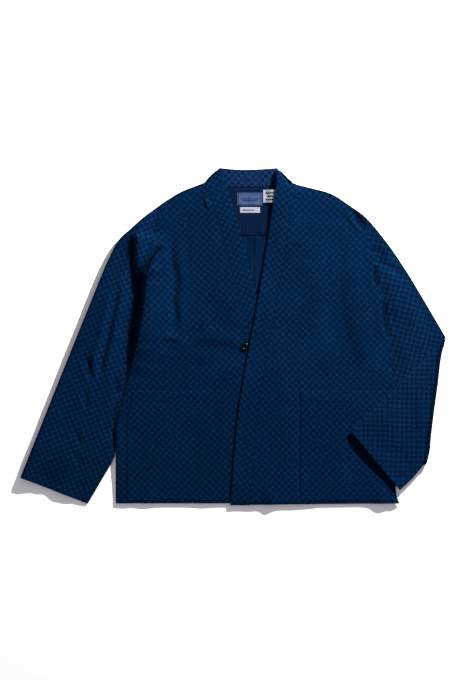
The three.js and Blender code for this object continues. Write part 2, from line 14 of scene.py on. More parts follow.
import bpy
import numpy as np
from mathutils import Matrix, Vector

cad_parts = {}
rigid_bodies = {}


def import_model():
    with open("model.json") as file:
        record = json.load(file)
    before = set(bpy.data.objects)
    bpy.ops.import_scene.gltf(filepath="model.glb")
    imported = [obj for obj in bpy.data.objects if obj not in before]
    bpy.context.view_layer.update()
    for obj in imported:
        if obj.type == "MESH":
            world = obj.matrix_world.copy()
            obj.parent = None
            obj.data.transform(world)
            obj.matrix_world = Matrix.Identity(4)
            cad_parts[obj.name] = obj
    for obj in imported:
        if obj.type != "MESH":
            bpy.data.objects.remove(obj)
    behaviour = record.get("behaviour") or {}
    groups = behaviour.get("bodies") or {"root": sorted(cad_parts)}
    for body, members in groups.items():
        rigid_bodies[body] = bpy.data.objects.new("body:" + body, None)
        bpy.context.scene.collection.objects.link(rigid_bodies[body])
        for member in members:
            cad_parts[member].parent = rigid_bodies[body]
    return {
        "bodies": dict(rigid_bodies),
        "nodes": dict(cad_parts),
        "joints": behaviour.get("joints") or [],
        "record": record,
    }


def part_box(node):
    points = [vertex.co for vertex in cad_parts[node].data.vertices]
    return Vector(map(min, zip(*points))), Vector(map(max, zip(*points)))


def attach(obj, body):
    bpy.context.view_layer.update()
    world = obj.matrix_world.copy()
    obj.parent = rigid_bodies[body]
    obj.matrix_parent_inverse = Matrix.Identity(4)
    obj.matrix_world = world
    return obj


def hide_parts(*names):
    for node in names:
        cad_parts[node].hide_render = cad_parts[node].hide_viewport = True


LOG = logging.getLogger("haori")

MM = 0.001
CLOTH = 1.4  # wall of one layer
BAND_CLOTH = 1.8  # wall of the doubled neck band
POCKET_CLOTH = 0.7  # wall of a patch pocket
SEWN = 0.01  # space between two sewn pieces
NECK_SEWN = 0.03  # the same along the neck, on each side of its seam
ON_CLOTH = 0.02  # space between cloth and a strip that lies on it
ON_FRONT = 0.4  # the same under a pocket
REST = 3.4  # height of the fronts' lower face, in the open
PRESSED = 2.2  # the same at the outline and under the forearm
BAND_WIDTH = 40.0
HEM_Y = -350.0
BACK_HEM_Y = HEM_Y + 2
OVERLAP_LIFT = BAND_CLOTH + 0.6  # rise of the right front where it crosses the left
EDGE_ROLL = 14.0  # how far in from the shoulders the cloth reaches its height
SIDE_ROLL = 3.0  # the same from the side seams
HEM_ROLL = 8.0  # the same from the hem
SLEEVE_ROLL = 8.0  # the same across a flattened sleeve
GULLY = 3.9  # height of the left sleeve at the foot of the front's ridge
FOLD_CENTRE = 6.3  # height of the elbow fold's axis
OFF_BODY = 1.2  # how far the forearm sinks where only the floor is under it
CHECK = 7.1  # side of one square of the woven check

Points = Sequence[tuple[float, float]]
Height = Callable[[np.ndarray, np.ndarray], np.ndarray]

SHOULDER_LEFT: Points = ((-148, 280.5), (-112, 302.4), (-62, 322.5))
SHOULDER_RIGHT: Points = ((119, 322), (161, 311.8), (206, 298.8), (249, 271.4))
ARMHOLE_LEFT: Points = (
    (-148, 280.5), (-159, 234), (-169, 182), (-181, 129), (-194, 24), (-219, -87), (-247, -196))
ARMHOLE_RIGHT: Points = (
    (249, 271.4), (270, 234), (291, 186), (306, 98), (327, -3), (339, -102), (343, -192))
SIDE_LEFT: Points = ((-247, -196), (-247, HEM_Y))
SIDE_RIGHT: Points = ((343, -192), (341, -329), (348, HEM_Y))
EDGE_LEFT: Points = (
    (-28.5, 354), (-15, 314), (3.6, 255), (39, 123), (68, 14), (87, -102), (119, HEM_Y))
EDGE_RIGHT: Points = (
    (91, 353), (89, 318), (79, 255), (60, 129), (37, 3), (22, -81), (9, -165), (-7, -353.8))
SLEEVE_LEFT_OUTER: Points = (
    (-148, 280.5), (-188, 250.5), (-217.5, 224), (-238, 205.5), (-260, 166), (-309.8, 46),
    (-370.7, -105), (-446.8, -295.5))
SLEEVE_LEFT_INNER: Points = (
    (-247.4, -196), (-248, -225), (-249.6, -251), (-277, -302), (-306, -351))
SLEEVE_RIGHT_OUTER: Points = (
    (249, 271.4), (276.5, 251), (320, 199.5), (354.6, 149.9), (385.6, 99.9), (446, -2.5))
SLEEVE_RIGHT_INNER: Points = ((343.5, -192), (370, -232), (398, -269))
ELBOW_FOLD: Points = (
    (446, -2.5), (433.6, -24), (421.8, -103), (408.5, -204), (405, -240), (398, -269))
FOREARM_OUTER: Points = ((446, -2.5), (245, -198))
FOREARM_INNER: Points = ((398, -269), (376, -296), (348.5, -322))
NECK_SEAM: Points = ((-61, 321), (-40, 314), (25, 312), (92, 314), (118, 321))
COLLAR_LEFT = (-28.5, 354)
COLLAR_RIGHT = (91, 353.8)

# Share of the left armhole from the shoulder down, and how far the front's edge rises there.
ARMHOLE_RIDGE = (
    (0, 0.5), (0.15, 0.8), (0.2, 4), (0.25, 9), (0.3, 13.5), (0.37, 18), (0.46, 19.5), (0.56, 18.5),
    (0.62, 15), (0.7, 9), (0.76, 4), (0.85, 1.5), (1, 0.5))
# The same, and how far out the left sleeve falls from the ridge to its foot.
RIDGE_FALL = (
    (0, 6), (0.16, 6), (0.2, 7), (0.25, 10), (0.3, 15), (0.37, 20.5), (0.56, 24), (0.62, 19),
    (0.7, 12), (0.76, 7), (0.85, 5), (1, 4))
# Where the fronts' hem lifts off the back: x, rise and half width.
HEM_WAVES = (
    (-228, 0.8, 16), (-182, 1.3, 18), (-60, 0.8, 26), (40, 1.0, 14), (77, 4.2, 13), (160, 1.2, 18),
    (312, 6.2, 20), (338, 3.0, 9))
# Share across the left cuff from the outer edge in, and the height of its upper face.
CUFF_WAVE = (
    (0, 14), (0.08, 14), (0.3, 8.5), (0.42, 6.5), (0.58, 9), (0.68, 8), (0.85, 4.6), (1, 3.6))
# Height up the right front's edge, and how far the collar stands up there.
COLLAR_STAND = ((150, 0), (200, 1.5), (240, 4.5), (286, 8.5), (330, 9.5), (354, 9.5))
# The same, and how far the free edge curls up off the left front.
EDGE_CURL = ((-350, 1.0), (-310, 1.8), (150, 2.0), (210, 0))
# Where each front's band bulges as it crosses the shoulder.
NECK_TURN = {"left": (-47, 338.6), "right": (107, 337)}
# Section of the button's head, as shares of its radius and height, from its rim to its dished top.
BUTTON_SECTION = (
    (0.72, 0.04), (0.92, 0.14), (1, 0.3), (1, 0.55), (0.965, 0.68), (0.9, 0.81), (0.84, 0.92),
    (0.79, 0.985), (0.75, 1), (0.71, 0.985), (0.66, 0.9), (0.6, 0.78), (0.54, 0.67), (0.48, 0.61),
    (0.3, 0.59), (0, 0.58))
# Length along which the rows of the fronts and their bands are spaced, and the rows by its ends.
PANEL_LENGTH = 680.0
NEAR_SHOULDER = (0, 1, 2.5, 5, 8, 11.5, 15.5)
NEAR_HEM = (0, 1, 2.5, 5, 8)


class Grain(Enum):
    """Angle of each piece's warp, degrees anticlockwise from straight up."""

    FRONT_LEFT = 3.0
    FRONT_RIGHT = 0.0
    BACK = 0.0
    BAND_LEFT = 15.5
    BAND_RIGHT = -10.0
    BAND_BACK = 90.0
    SLEEVE_LEFT = -22.5
    SLEEVE_RIGHT_UPPER = 30.0
    SLEEVE_RIGHT_FOREARM = 43.5


# ---------------------------------------------------------------- small maths
def ease(share: np.ndarray | float) -> np.ndarray:
    """A smooth step from 0 to 1."""
    s = np.clip(share, 0.0, 1.0)
    return s * s * (3 - 2 * s)


def roll(distance: np.ndarray | float, radius: float) -> np.ndarray:
    """A quarter-round rise from 0 at an edge to 1 at radius from it."""
    return np.sqrt(1 - (1 - np.clip(np.asarray(distance) / radius, 0, 1)) ** 2)


def mix(low: np.ndarray | float, high: np.ndarray | float, share: np.ndarray | float) -> np.ndarray:
    """Straight blend from low to high."""
    return low + (high - low) * share


def bell(distance: np.ndarray | float, width: np.ndarray | float) -> np.ndarray:
    """A smooth hump: 1 at no distance, about a third at the width."""
    return np.exp(-((distance / width) ** 2))


def level(height: float) -> Height:
    """A flat face at one height."""
    return lambda x, y: np.full_like(x, height)


def along(table: Sequence[tuple[float, float]], at: np.ndarray) -> np.ndarray:
    """Value of a table of (place, value) rows, eased between its rows.

    Args:
        table: rows in rising order of place.
        at: the places asked for.

    Returns:
        One value for each place.
    """
    value = np.full(np.shape(at), float(table[0][1]))
    for (a, low), (b, high) in zip(table, table[1:]):
        inside = np.asarray(at) >= a
        value = np.where(inside, mix(low, high, ease((at - a) / (b - a))), value)
    return value


class Path:
    """A smooth plan curve through points, known by the share of its length."""

    def __init__(self, points: Points, straight: bool = False, steps: int = 24) -> None:
        """Lays the curve.

        Args:
            points: plan points in millimetres.
            straight: whether the points are joined by straight lines.
            steps: samples between two points.
        """
        p = np.asarray(points, float)
        self.line = p if straight or len(p) == 2 else self._spline(p, steps)
        step = np.linalg.norm(np.diff(self.line, axis=0), axis=1)
        self.run = np.concatenate([[0.0], np.cumsum(step)])
        self.length = float(self.run[-1])

    @staticmethod
    def _spline(p: np.ndarray, steps: int) -> np.ndarray:
        """Centripetal spline through the points.

        Args:
            p: (n, 2) points.
            steps: samples between two of them.

        Returns:
            The samples and the last point.
        """
        ends = np.vstack([2 * p[0] - p[1], p, 2 * p[-1] - p[-2]])
        t = np.linspace(0, 1, steps, endpoint=False)[:, None]
        rows = []
        for i in range(1, len(ends) - 2):
            a, b, c, d = ends[i - 1], ends[i], ends[i + 1], ends[i + 2]
            g0, g1, g2 = (math.sqrt(np.linalg.norm(q - r)) for q, r in ((b, a), (c, b), (d, c)))
            m1 = ((b - a) / g0 - (c - a) / (g0 + g1) + (c - b) / g1) * g1
            m2 = ((c - b) / g1 - (d - b) / (g1 + g2) + (d - c) / g2) * g1
            rows.append(b + m1 * t + (3 * (c - b) - 2 * m1 - m2) * t**2
                        + (2 * (b - c) + m1 + m2) * t**3)
        return np.vstack([*rows, p[-1]])

    def at(self, share: np.ndarray | float) -> np.ndarray:
        """Points (…, 2) at shares of the length."""
        s = np.clip(share, 0, 1) * self.length
        return np.stack([np.interp(s, self.run, self.line[:, k]) for k in (0, 1)], axis=-1)

    def nearest(self, x: np.ndarray, y: np.ndarray) -> tuple[np.ndarray, np.ndarray, np.ndarray]:
        """Nearest place on the curve.

        Args:
            x, y: plan points, any shape.

        Returns:
            The distance, the side (+1 on the left going along) and the share of the length.
        """
        gap = np.full(np.shape(x), np.inf)
        side, share = np.ones_like(gap), np.zeros_like(gap)
        for i in range(len(self.line) - 1):
            ax, ay = self.line[i]
            dx, dy = self.line[i + 1] - self.line[i]
            size = math.hypot(dx, dy)
            f = np.clip(((x - ax) * dx + (y - ay) * dy) / size**2, 0, 1)
            here = np.hypot(x - ax - f * dx, y - ay - f * dy)
            closer = here < gap
            gap = np.where(closer, here, gap)
            side = np.where(closer, np.where(dx * (y - ay) - dy * (x - ax) < 0, -1.0, 1.0), side)
            share = np.where(closer, (self.run[i] + f * size) / self.length, share)
        return gap, side, share

    def x_at(self, y: np.ndarray) -> np.ndarray:
        """x of a curve that runs down the jacket, at heights y."""
        return np.interp(-np.asarray(y), -self.line[:, 1], self.line[:, 0])


def chain(*parts: Path) -> Path:
    """Several curves end to end."""
    return Path(np.vstack([parts[0].line, *(p.line[1:] for p in parts[1:])]), straight=True)


def shifted(points: Points, dx: float) -> Points:
    """The points moved sideways."""
    return tuple((x + dx, y) for x, y in points)


def spacing(length: float, near: Sequence[float], step: float,
            near_end: Sequence[float] | None = None) -> np.ndarray:
    """Distances 0..length, close together by each end and about a step apart between.

    Args:
        length: the whole distance.
        near: the distances listed by the start.
        step: the middle's spacing.
        near_end: the distances from the far end, or None for the same as near.

    Returns:
        The distances in rising order.
    """
    far = near if near_end is None else near_end
    low, high = near[-1], length - far[-1]
    count = max(2, round((high - low) / step))
    middle = np.linspace(low, high, count + 1)[1:-1]
    return np.concatenate([near, middle, [length - d for d in reversed(far)]])


def sideways(line: np.ndarray) -> np.ndarray:
    """Steps of one millimetre to the left of a line.

    Args:
        line: (n, 2) points along it.

    Returns:
        (n, 2) steps, one for each point.
    """
    ahead = np.gradient(line, axis=0)
    out = np.stack([-ahead[:, 1], ahead[:, 0]], axis=1)
    out /= np.linalg.norm(out, axis=1, keepdims=True)
    return out


# ---------------------------------------------------------------- how the cloth lies
class Shape(Enum):
    """Section of a crease across its path."""

    SOFT = "soft"
    SHARP = "sharp"
    STEP = "step"


@dataclass(frozen=True)
class Crease:
    """One trough in the cloth; a negative depth makes it a ridge.

    A step raises the cloth on the left of the path, as one goes along it.
    """

    points: Points
    half: float
    depth: float
    shape: Shape = Shape.SOFT
    taper: float = 5.0
    tail: float = 1.0  # below 1, the far end fades over a longer stretch

    def nearest(self, x: np.ndarray, y: np.ndarray) -> tuple[np.ndarray, np.ndarray, np.ndarray]:
        """Distance, side and share along the crease's path."""
        return Path(self.points, steps=6).nearest(x, y)

    def dip(self, x: np.ndarray, y: np.ndarray) -> np.ndarray:
        """How far the cloth lies below its neighbours at each place.

        Args:
            x, y: plan points.

        Returns:
            The depth; below 0 where the cloth is raised.
        """
        gap, side, at = self.nearest(x, y)
        ends = ease(np.minimum(at, self.tail * (1 - at)) * self.taper + 0.15)
        g = gap / self.half
        if self.shape is Shape.STEP:  # steep at the path, a long slope behind it
            fall = bell(np.maximum(0, g - 1), 2.8)
            return -self.depth * ends * np.where(side > 0, np.minimum(g, 1) * fall, 0)
        if self.shape is Shape.SHARP:  # a narrow trough, then a low swell
            section = np.exp(-g * 1.6) - 0.3 * bell(g - 2.4, 1.2)
        else:
            section = bell(g, 1) - 0.18 * bell(g - 2.0, 0.8)
        return self.depth * ends * section

    def shade(self, x: np.ndarray, y: np.ndarray) -> np.ndarray:
        """Painted shade at the foot of a step or in a sharp crease.

        Args:
            x, y: plan points.

        Returns:
            0 in the open to 1 in a deep crease.
        """
        if self.shape is Shape.SOFT:
            return np.zeros_like(x)
        gap, side, at = self.nearest(x, y)
        ends = ease(np.minimum(at, 1 - at) * self.taper)
        reach = 0.62 * self.half * np.where(side > 0, 0.6, 1.0)
        return ends * bell(gap, reach) * min(1.0, self.depth / 4)


# Large folds first; the CAD solids have these too. Then the small ones.
CREASES = (
    Crease(((-213, 218), (-213.5, 176), (-212, 146), (-202, 108)), 13, 15, Shape.STEP, 9, 0.42),
    Crease(((-152, 187), (-162, 176), (-173, 158), (-183, 132)), 6.0, 5.5, Shape.SHARP, 8),
    Crease(((-166, 170), (-175, 154), (-184, 134)), 5.0, 2.6, Shape.SHARP, 2.5),
    Crease(((215, 234), (219, 66), (242, -34), (262, -100)), 24, 2.6),
    Crease(((246, 240), (250, 66), (268, -34), (288, -90)), 22, -2.0),
    Crease(((-230, -195), (-180, -120), (-123, -28)), 24, -2.4),
    Crease(((-212, -190), (-160, -118), (-110, -40)), 18, 1.2),
    Crease(((-63, 291), (-61, 281), (-57, 268)), 2.4, 2.2, Shape.STEP),
    Crease(((-127, 208), (-130, 160), (-121, 118), (-128, 76), (-122, 36), (-133, -2)), 7.5, 3.2),
    Crease(((-112, 190), (-106, 110), (-110, 30)), 10, -1.4),
    Crease(((-140, -12.6), (-133, -8), (-127, -8.6), (-120, -11.3), (-112, -6)), 3.6, 3.6,
           Shape.STEP),
    Crease(((-104, -4), (-80, 8), (-62, 16)), 9, 1.4),
    Crease(((-100, -18), (-50, -24), (14, -22)), 12, 1.6),
    Crease(((-70, 14), (-30, 0), (12, -10)), 13, -1.5),
    Crease(((-90, -62), (-40, -52), (10, -34)), 14, 1.2),
    Crease(((-174, 184), (-162, 187.5), (-153, 186)), 3.0, 1.8, Shape.SHARP),
    Crease(((249.5, 264), (262, 242), (275, 227)), 4.6, 7.5, Shape.SHARP, 7),
    Crease(((299, 150), (297, 129), (302, 100)), 4.2, 4.6, Shape.SHARP),
    Crease(((313, 74), (319, 24), (324, -2)), 4.2, 4.6, Shape.SHARP),
    Crease(((284, 190), (300, 176), (322, 170)), 6, 1.6),
    Crease(((292, 166), (322, 149), (354, 128)), 7, 2.0),
    Crease(((300, 84), (322, 92), (346, 110)), 8, 1.2),
    Crease(((333, -50), (338, -100), (341, -150)), 7, 1.6),
    Crease(((290, 214), (306, 180), (314, 140)), 9, 0.8),
    Crease(((400, 26), (420, 10), (438, -2)), 13, 2.4),
    Crease(((342, 120), (372, 60), (400, 6)), 18, -1.6),
    Crease(((330, 60), (352, 10), (372, -34)), 16, 1.6),
    Crease(((-238, 108), (-247, 77), (-262, 10), (-277, -56), (-283, -90)), 7, 5.2),
    Crease(((-258, 96), (-270, 40), (-288, -30), (-299, -84)), 9, -2.2),
    Crease(((-306, -46), (-302, -70), (-298, -91)), 6, 3.2),
    Crease(((-310, -115), (-309, -132), (-307, -151)), 6, 3.2),
    Crease(((-331, -199), (-327, -212), (-322, -226)), 6, 2.4),
    Crease(((-333, -243), (-325, -258), (-319, -272)), 6, 1.8),
    Crease(((-247, -85), (-244, -102), (-241, -118)), 5, 3.0, Shape.SHARP),
    Crease(((-232, -130), (-247, -145), (-250, -193), (-250, -247)), 4, 2.2, Shape.SHARP),
    Crease(((-276, -10), (-300, -80), (-330, -160)), 20, -1.4),
    Crease(((-392, -150), (-402, -190), (-408, -235)), 16, 1.2),
    Crease(((-160, -250), (-120, -215), (-70, -196)), 22, 1.0),
    Crease(((60, -230), (96, -180), (120, -130)), 24, 1.0),
    Crease(((150, 120), (140, 40), (128, -40)), 26, 1.0),
    Crease(((176, 270), (160, 210), (152, 150)), 22, 1.1),
    Crease(((-90, 260), (-100, 220), (-98, 170)), 14, 1.0),
    Crease(((330, -120), (300, -105), (268, -120)), 12, 1.2),
    Crease(((292, -262), (330, -286), (360, -296)), 12, 0.8),
    Crease(((352, -120), (372, -160), (380, -210)), 16, 1.2),
    Crease(((300, -150), (330, -190), (352, -240)), 18, -1.2),
)
FOREARM_CREASES = CREASES[-4:]
BODY_CREASES = CREASES[:-4]


@dataclass
class Lay:
    """Heights at which each layer of the jacket lies, and the painted shade of its folds and edges.
    """

    crest: float = 0.88  # height of the left armhole's seam, as a share of the ridge beside it
    crest_flat: float = 7.0  # how far into the front the ridge keeps its height
    crest_fall: float = 40.0  # and over how much more it falls
    dark_ridge: float = 17.0  # height of ridge beside which the gully's painted shade is darkest
    dark_cuff: float = 19.0  # how far below the forearm's cuff the painted shadow on the front reaches
    dark_edge: float = 3.0  # width of the painted shade along the edge where the cloth turns under
    press_reach: float = 34.0  # how far round the forearm the fronts are pressed down
    press_from: float = 225.0  # x from which they are
    hem_reach: float = 38.0  # how far up the hem's waves run
    floor_from: float = 349.0  # x from which the forearm has the floor under it
    side_full: float = 4.6  # fullness of the left front by its side seam
    arm_outer_high: float = 16.2  # height of the left sleeve at its outer edge
    arm_inner_high: float = 5.4  # and by the underarm
    crown_low: float = 7.0  # height of the right upper arm at its outer edge
    crown_high: float = 11.5  # and inside it
    fold_gap: float = 0.7  # half the space inside the elbow fold
    forearm_rise: float = 2.4  # how much higher the forearm is away from the fold

    def __post_init__(self) -> None:
        """Lays the seams and edges that the heights follow."""
        self.armhole_left = Path(ARMHOLE_LEFT, steps=10)
        self.armhole_right = Path(ARMHOLE_RIGHT, steps=10)
        self.top_left = Path(
            [COLLAR_LEFT, *Path(SHOULDER_LEFT, steps=6).line[::-1]], straight=True)
        self.top_right = Path([COLLAR_RIGHT, *Path(SHOULDER_RIGHT, steps=6).line], straight=True)
        self.side_left = Path(SIDE_LEFT)
        self.side_right = Path(SIDE_RIGHT, steps=4)
        self.edge_left = Path(EDGE_LEFT)
        self.edge_right = Path(EDGE_RIGHT)
        self.forearm = Path(FOREARM_OUTER)
        self.sleeve_outer = Path(SLEEVE_LEFT_OUTER, steps=8)
        self.cuff_left = Path([SLEEVE_LEFT_OUTER[-1], SLEEVE_LEFT_INNER[-1]])
        self.fold = Path(ELBOW_FOLD, steps=8)
        self.underarm = Path(SLEEVE_RIGHT_INNER, steps=6)
        self.arm_outer = Path(SLEEVE_RIGHT_OUTER, steps=6)
        self.cuff_right = Path([FOREARM_OUTER[1], FOREARM_INNER[2]])

    @staticmethod
    def creases(x: np.ndarray, y: np.ndarray, which: Sequence[Crease]) -> np.ndarray:
        """Sum of the creases at each place, as a height."""
        return -sum(crease.dip(x, y) for crease in which)

    def fold_shade(self, x: np.ndarray, y: np.ndarray) -> np.ndarray:
        """Painted shade: how much less light reaches the bottom of the body's folds, the front below
        the forearm's cuff and the edges where the cloth turns under.

        Args:
            x, y: plan points.

        Returns:
            0 in the open to 1 where it is darkest.
        """
        gap, side, at = self.armhole_left.nearest(x, y)
        foot = along(RIDGE_FALL, at)
        # Painted shade in the gully below the left front's ridge.
        gully = (ease(along(ARMHOLE_RIDGE, at) / self.dark_ridge)
                 * bell(gap - 0.6 * foot, 0.45 * foot))
        folds = sum(crease.shade(x, y) for crease in BODY_CREASES)
        # Painted shadow that the forearm's cuff casts on the front below it.
        cuff, below, over = self.cuff_right.nearest(x, y)
        ends = ease(np.minimum(over, 1 - over) * 20)
        painted_cuff_shadow = np.where(below < 0, ease((self.dark_cuff - cuff) / 5) * ends, 0)
        depth = folds + np.where(side < 0, gully, 0) + 0.75 * painted_cuff_shadow + self.edge_shade(x, y)
        return np.clip(depth, 0, 1)

    def edge_shade(self, x: np.ndarray, y: np.ndarray) -> np.ndarray:
        """Painted shade: how much darker the cloth is where it turns under at the outline.

        Args:
            x, y: plan points.

        Returns:
            1 on the outline, falling to 0 inside it.
        """
        edges = (self.top_left, self.top_right, self.sleeve_outer, self.arm_outer, self.fold)
        gap = np.min([edge.nearest(x, y)[0] for edge in edges], axis=0)
        return bell(gap, self.dark_edge)

    @staticmethod
    def ripple(x: np.ndarray, y: np.ndarray) -> np.ndarray:
        """The cloth's slight unevenness.

        Args:
            x, y: plan points.

        Returns:
            Up to half a millimetre up or down.
        """
        slow = np.sin(x / 37 + 1.3 * np.sin(y / 61)) * np.sin(y / 53 + 0.8 * np.sin(x / 47) + 1)
        quick = np.sin(x / 13 + y / 31 + 2 * np.sin(y / 43)) * np.sin(y / 17 - x / 29 + 0.5)
        return 0.34 * slow + 0.16 * quick

    def under_forearm(self, x: np.ndarray, y: np.ndarray) -> np.ndarray:
        """1 where the folded forearm lies on the cloth, falling to 0 outside it."""
        gap, side, _ = self.forearm.nearest(x, y)
        return ease((gap * side + self.press_reach) / 26) * ease((x - self.press_from) / 25)

    def ground(self, x: np.ndarray, y: np.ndarray) -> np.ndarray:
        """Lower face of a front, before what raises only one of them.

        Args:
            x, y: plan points.

        Returns:
            Its heights.
        """
        covered = self.under_forearm(x, y)
        gap, side, at = self.armhole_left.nearest(x, y)
        crest = np.where(side > 0, mix(self.crest, 1, roll(gap, 5)), self.crest)
        spread = bell(np.maximum(0, gap - self.crest_flat), self.crest_fall)
        ridge = along(ARMHOLE_RIDGE, at) * crest * spread
        folds = (self.creases(x, y, BODY_CREASES) + self.ripple(x, y)) * (1 - covered)
        return np.maximum(mix(REST, PRESSED, covered) + ridge + folds, PRESSED - 0.4)

    def lift(self, x: np.ndarray, y: np.ndarray) -> np.ndarray:
        """How far a front has come up from the outline, where it is pressed on the back.

        Args:
            x, y: plan points.

        Returns:
            0 on the outline to 1 inside it.
        """
        top = np.minimum(self.top_left.nearest(x, y)[0], self.top_right.nearest(x, y)[0])
        side = np.minimum(self.side_left.nearest(x, y)[0], self.side_right.nearest(x, y)[0])
        return roll(top, EDGE_ROLL) * roll(side, SIDE_ROLL) * roll(y - HEM_Y + 1, HEM_ROLL)

    def hem_rise(self, x: np.ndarray, y: np.ndarray) -> np.ndarray:
        """How far the fronts' hem lifts off the back in its waves."""
        waves = sum(rise * bell(x - at, half) for at, rise, half in HEM_WAVES)
        return waves * bell(y - HEM_Y, self.hem_reach)

    def off_body(self, x: np.ndarray, y: np.ndarray) -> np.ndarray:
        """1 where the folded forearm has only the floor under it, 0 over the jacket."""
        gap, side, _ = self.underarm.nearest(x, y)
        return np.where(side < 0, ease(gap / 34), 0) * ease((x - self.floor_from) / 13)

    def under_left(self, x: np.ndarray, y: np.ndarray) -> np.ndarray:
        """Lower face of the left front and its band.

        Args:
            x, y: plan points.

        Returns:
            Its heights.
        """
        by_side = bell(self.side_left.nearest(x, y)[0], 22)
        full = self.side_full * by_side * ease((y - HEM_Y) / 110)
        lying = mix(PRESSED, self.ground(x, y) + full, self.lift(x, y))
        return lying + self.hem_rise(x, y) * ease(-(x + 20) / 20)

    def under_right(self, x: np.ndarray, y: np.ndarray) -> np.ndarray:
        """Lower face of the right front and its band, which cross over the left.

        Args:
            x, y: plan points.

        Returns:
            Its heights.
        """
        past = x - self.edge_left.x_at(y)
        on_left = OVERLAP_LIFT * (1 - ease((past - 8) / 40)) * ease((150 - y) / 60)
        from_edge = np.maximum(0, x - self.edge_right.x_at(y))
        stand = along(COLLAR_STAND, y) * bell(from_edge, 55)
        curl = along(EDGE_CURL, y) * bell(from_edge, 10)
        lying = mix(PRESSED, self.ground(x, y) + stand, self.lift(x, y))
        return lying + on_left + curl + self.hem_rise(x, y)

    def sleeve_left(self, x: np.ndarray, y: np.ndarray) -> np.ndarray:
        """Upper face of the left sleeve: full outside, dipping by the front's ridge.

        Args:
            x, y: plan points.

        Returns:
            Its heights.
        """
        gap, _, at = self.armhole_left.nearest(x, y)
        bulk = self.sleeve_outer.nearest(x, y)[0]
        full = mix(self.arm_outer_high, self.arm_inner_high, ease(bulk / 190))
        cuff, _, over = self.cuff_left.nearest(x, y)
        full = mix(along(CUFF_WAVE, over), full, ease(cuff / 85))
        foot = along(RIDGE_FALL, at)
        seam = REST + CLOTH + self.crest * along(ARMHOLE_RIDGE, at)
        slope = mix(seam, GULLY, np.clip(gap / foot, 0, 1) ** 0.92)
        folds = self.creases(x, y, BODY_CREASES) + self.ripple(x, y)
        low = mix(slope, full, ease((gap - foot) / 34))
        return np.maximum(low + folds, 3.2)

    def upper_arm(self, x: np.ndarray, y: np.ndarray) -> np.ndarray:
        """Upper face of the right sleeve's upper arm: low where the forearm covers it.

        Args:
            x, y: plan points.

        Returns:
            Its heights.
        """
        seam = self.armhole_right.nearest(x, y)[0]
        gap, side, _ = self.forearm.nearest(x, y)
        open_ = np.where(side > 0, 0, ease((gap - 6) / 60))
        low = mix(FOLD_CENTRE - self.fold_gap, REST + CLOTH, 0.3)
        by_seam = mix(REST + CLOTH, PRESSED + CLOTH, self.under_forearm(x, y))
        folds = self.creases(x, y, BODY_CREASES) + self.ripple(x, y)
        tip = roll(np.hypot(x - ARMHOLE_RIGHT[0][0], y - ARMHOLE_RIGHT[0][1]), EDGE_ROLL)
        inward = ease(self.arm_outer.nearest(x, y)[0] / 70)
        crown = mix(self.crown_low, self.crown_high, inward)
        full = mix(by_seam, mix(low, crown, open_), ease(seam / 30)) + folds * open_
        return np.maximum(mix(PRESSED + CLOTH, full, tip), 3.3)

    def forearm_low(self, x: np.ndarray, y: np.ndarray) -> np.ndarray:
        """Lower face of the folded forearm."""
        away = self.fold.nearest(x, y)[0]
        low = mix(FOLD_CENTRE + self.fold_gap, FOLD_CENTRE, ease(away / 30))
        return low - OFF_BODY * self.off_body(x, y)

    def forearm_high(self, x: np.ndarray, y: np.ndarray) -> np.ndarray:
        """Upper face of the folded forearm.

        Args:
            x, y: plan points.

        Returns:
            Its heights.
        """
        away = self.fold.nearest(x, y)[0]
        folds = self.creases(x, y, FOREARM_CREASES) + self.ripple(x, y)
        full = 2 * FOLD_CENTRE + self.forearm_rise * ease(away / 140) + folds * ease(away / 20)
        return full - OFF_BODY * self.off_body(x, y)


# ---------------------------------------------------------------- finishes
def linear(red: int, green: int, blue: int) -> tuple[float, float, float, float]:
    """Linear colour of a screen colour.

    Args:
        red, green, blue: its parts, 0 to 255.

    Returns:
        The parts and a full alpha, 0 to 1.
    """
    def one(v: float) -> float:
        """One part, made linear."""
        return v / 12.92 if v <= 0.04045 else ((v + 0.055) / 1.055) ** 2.4
    return (one(red / 255), one(green / 255), one(blue / 255), 1.0)


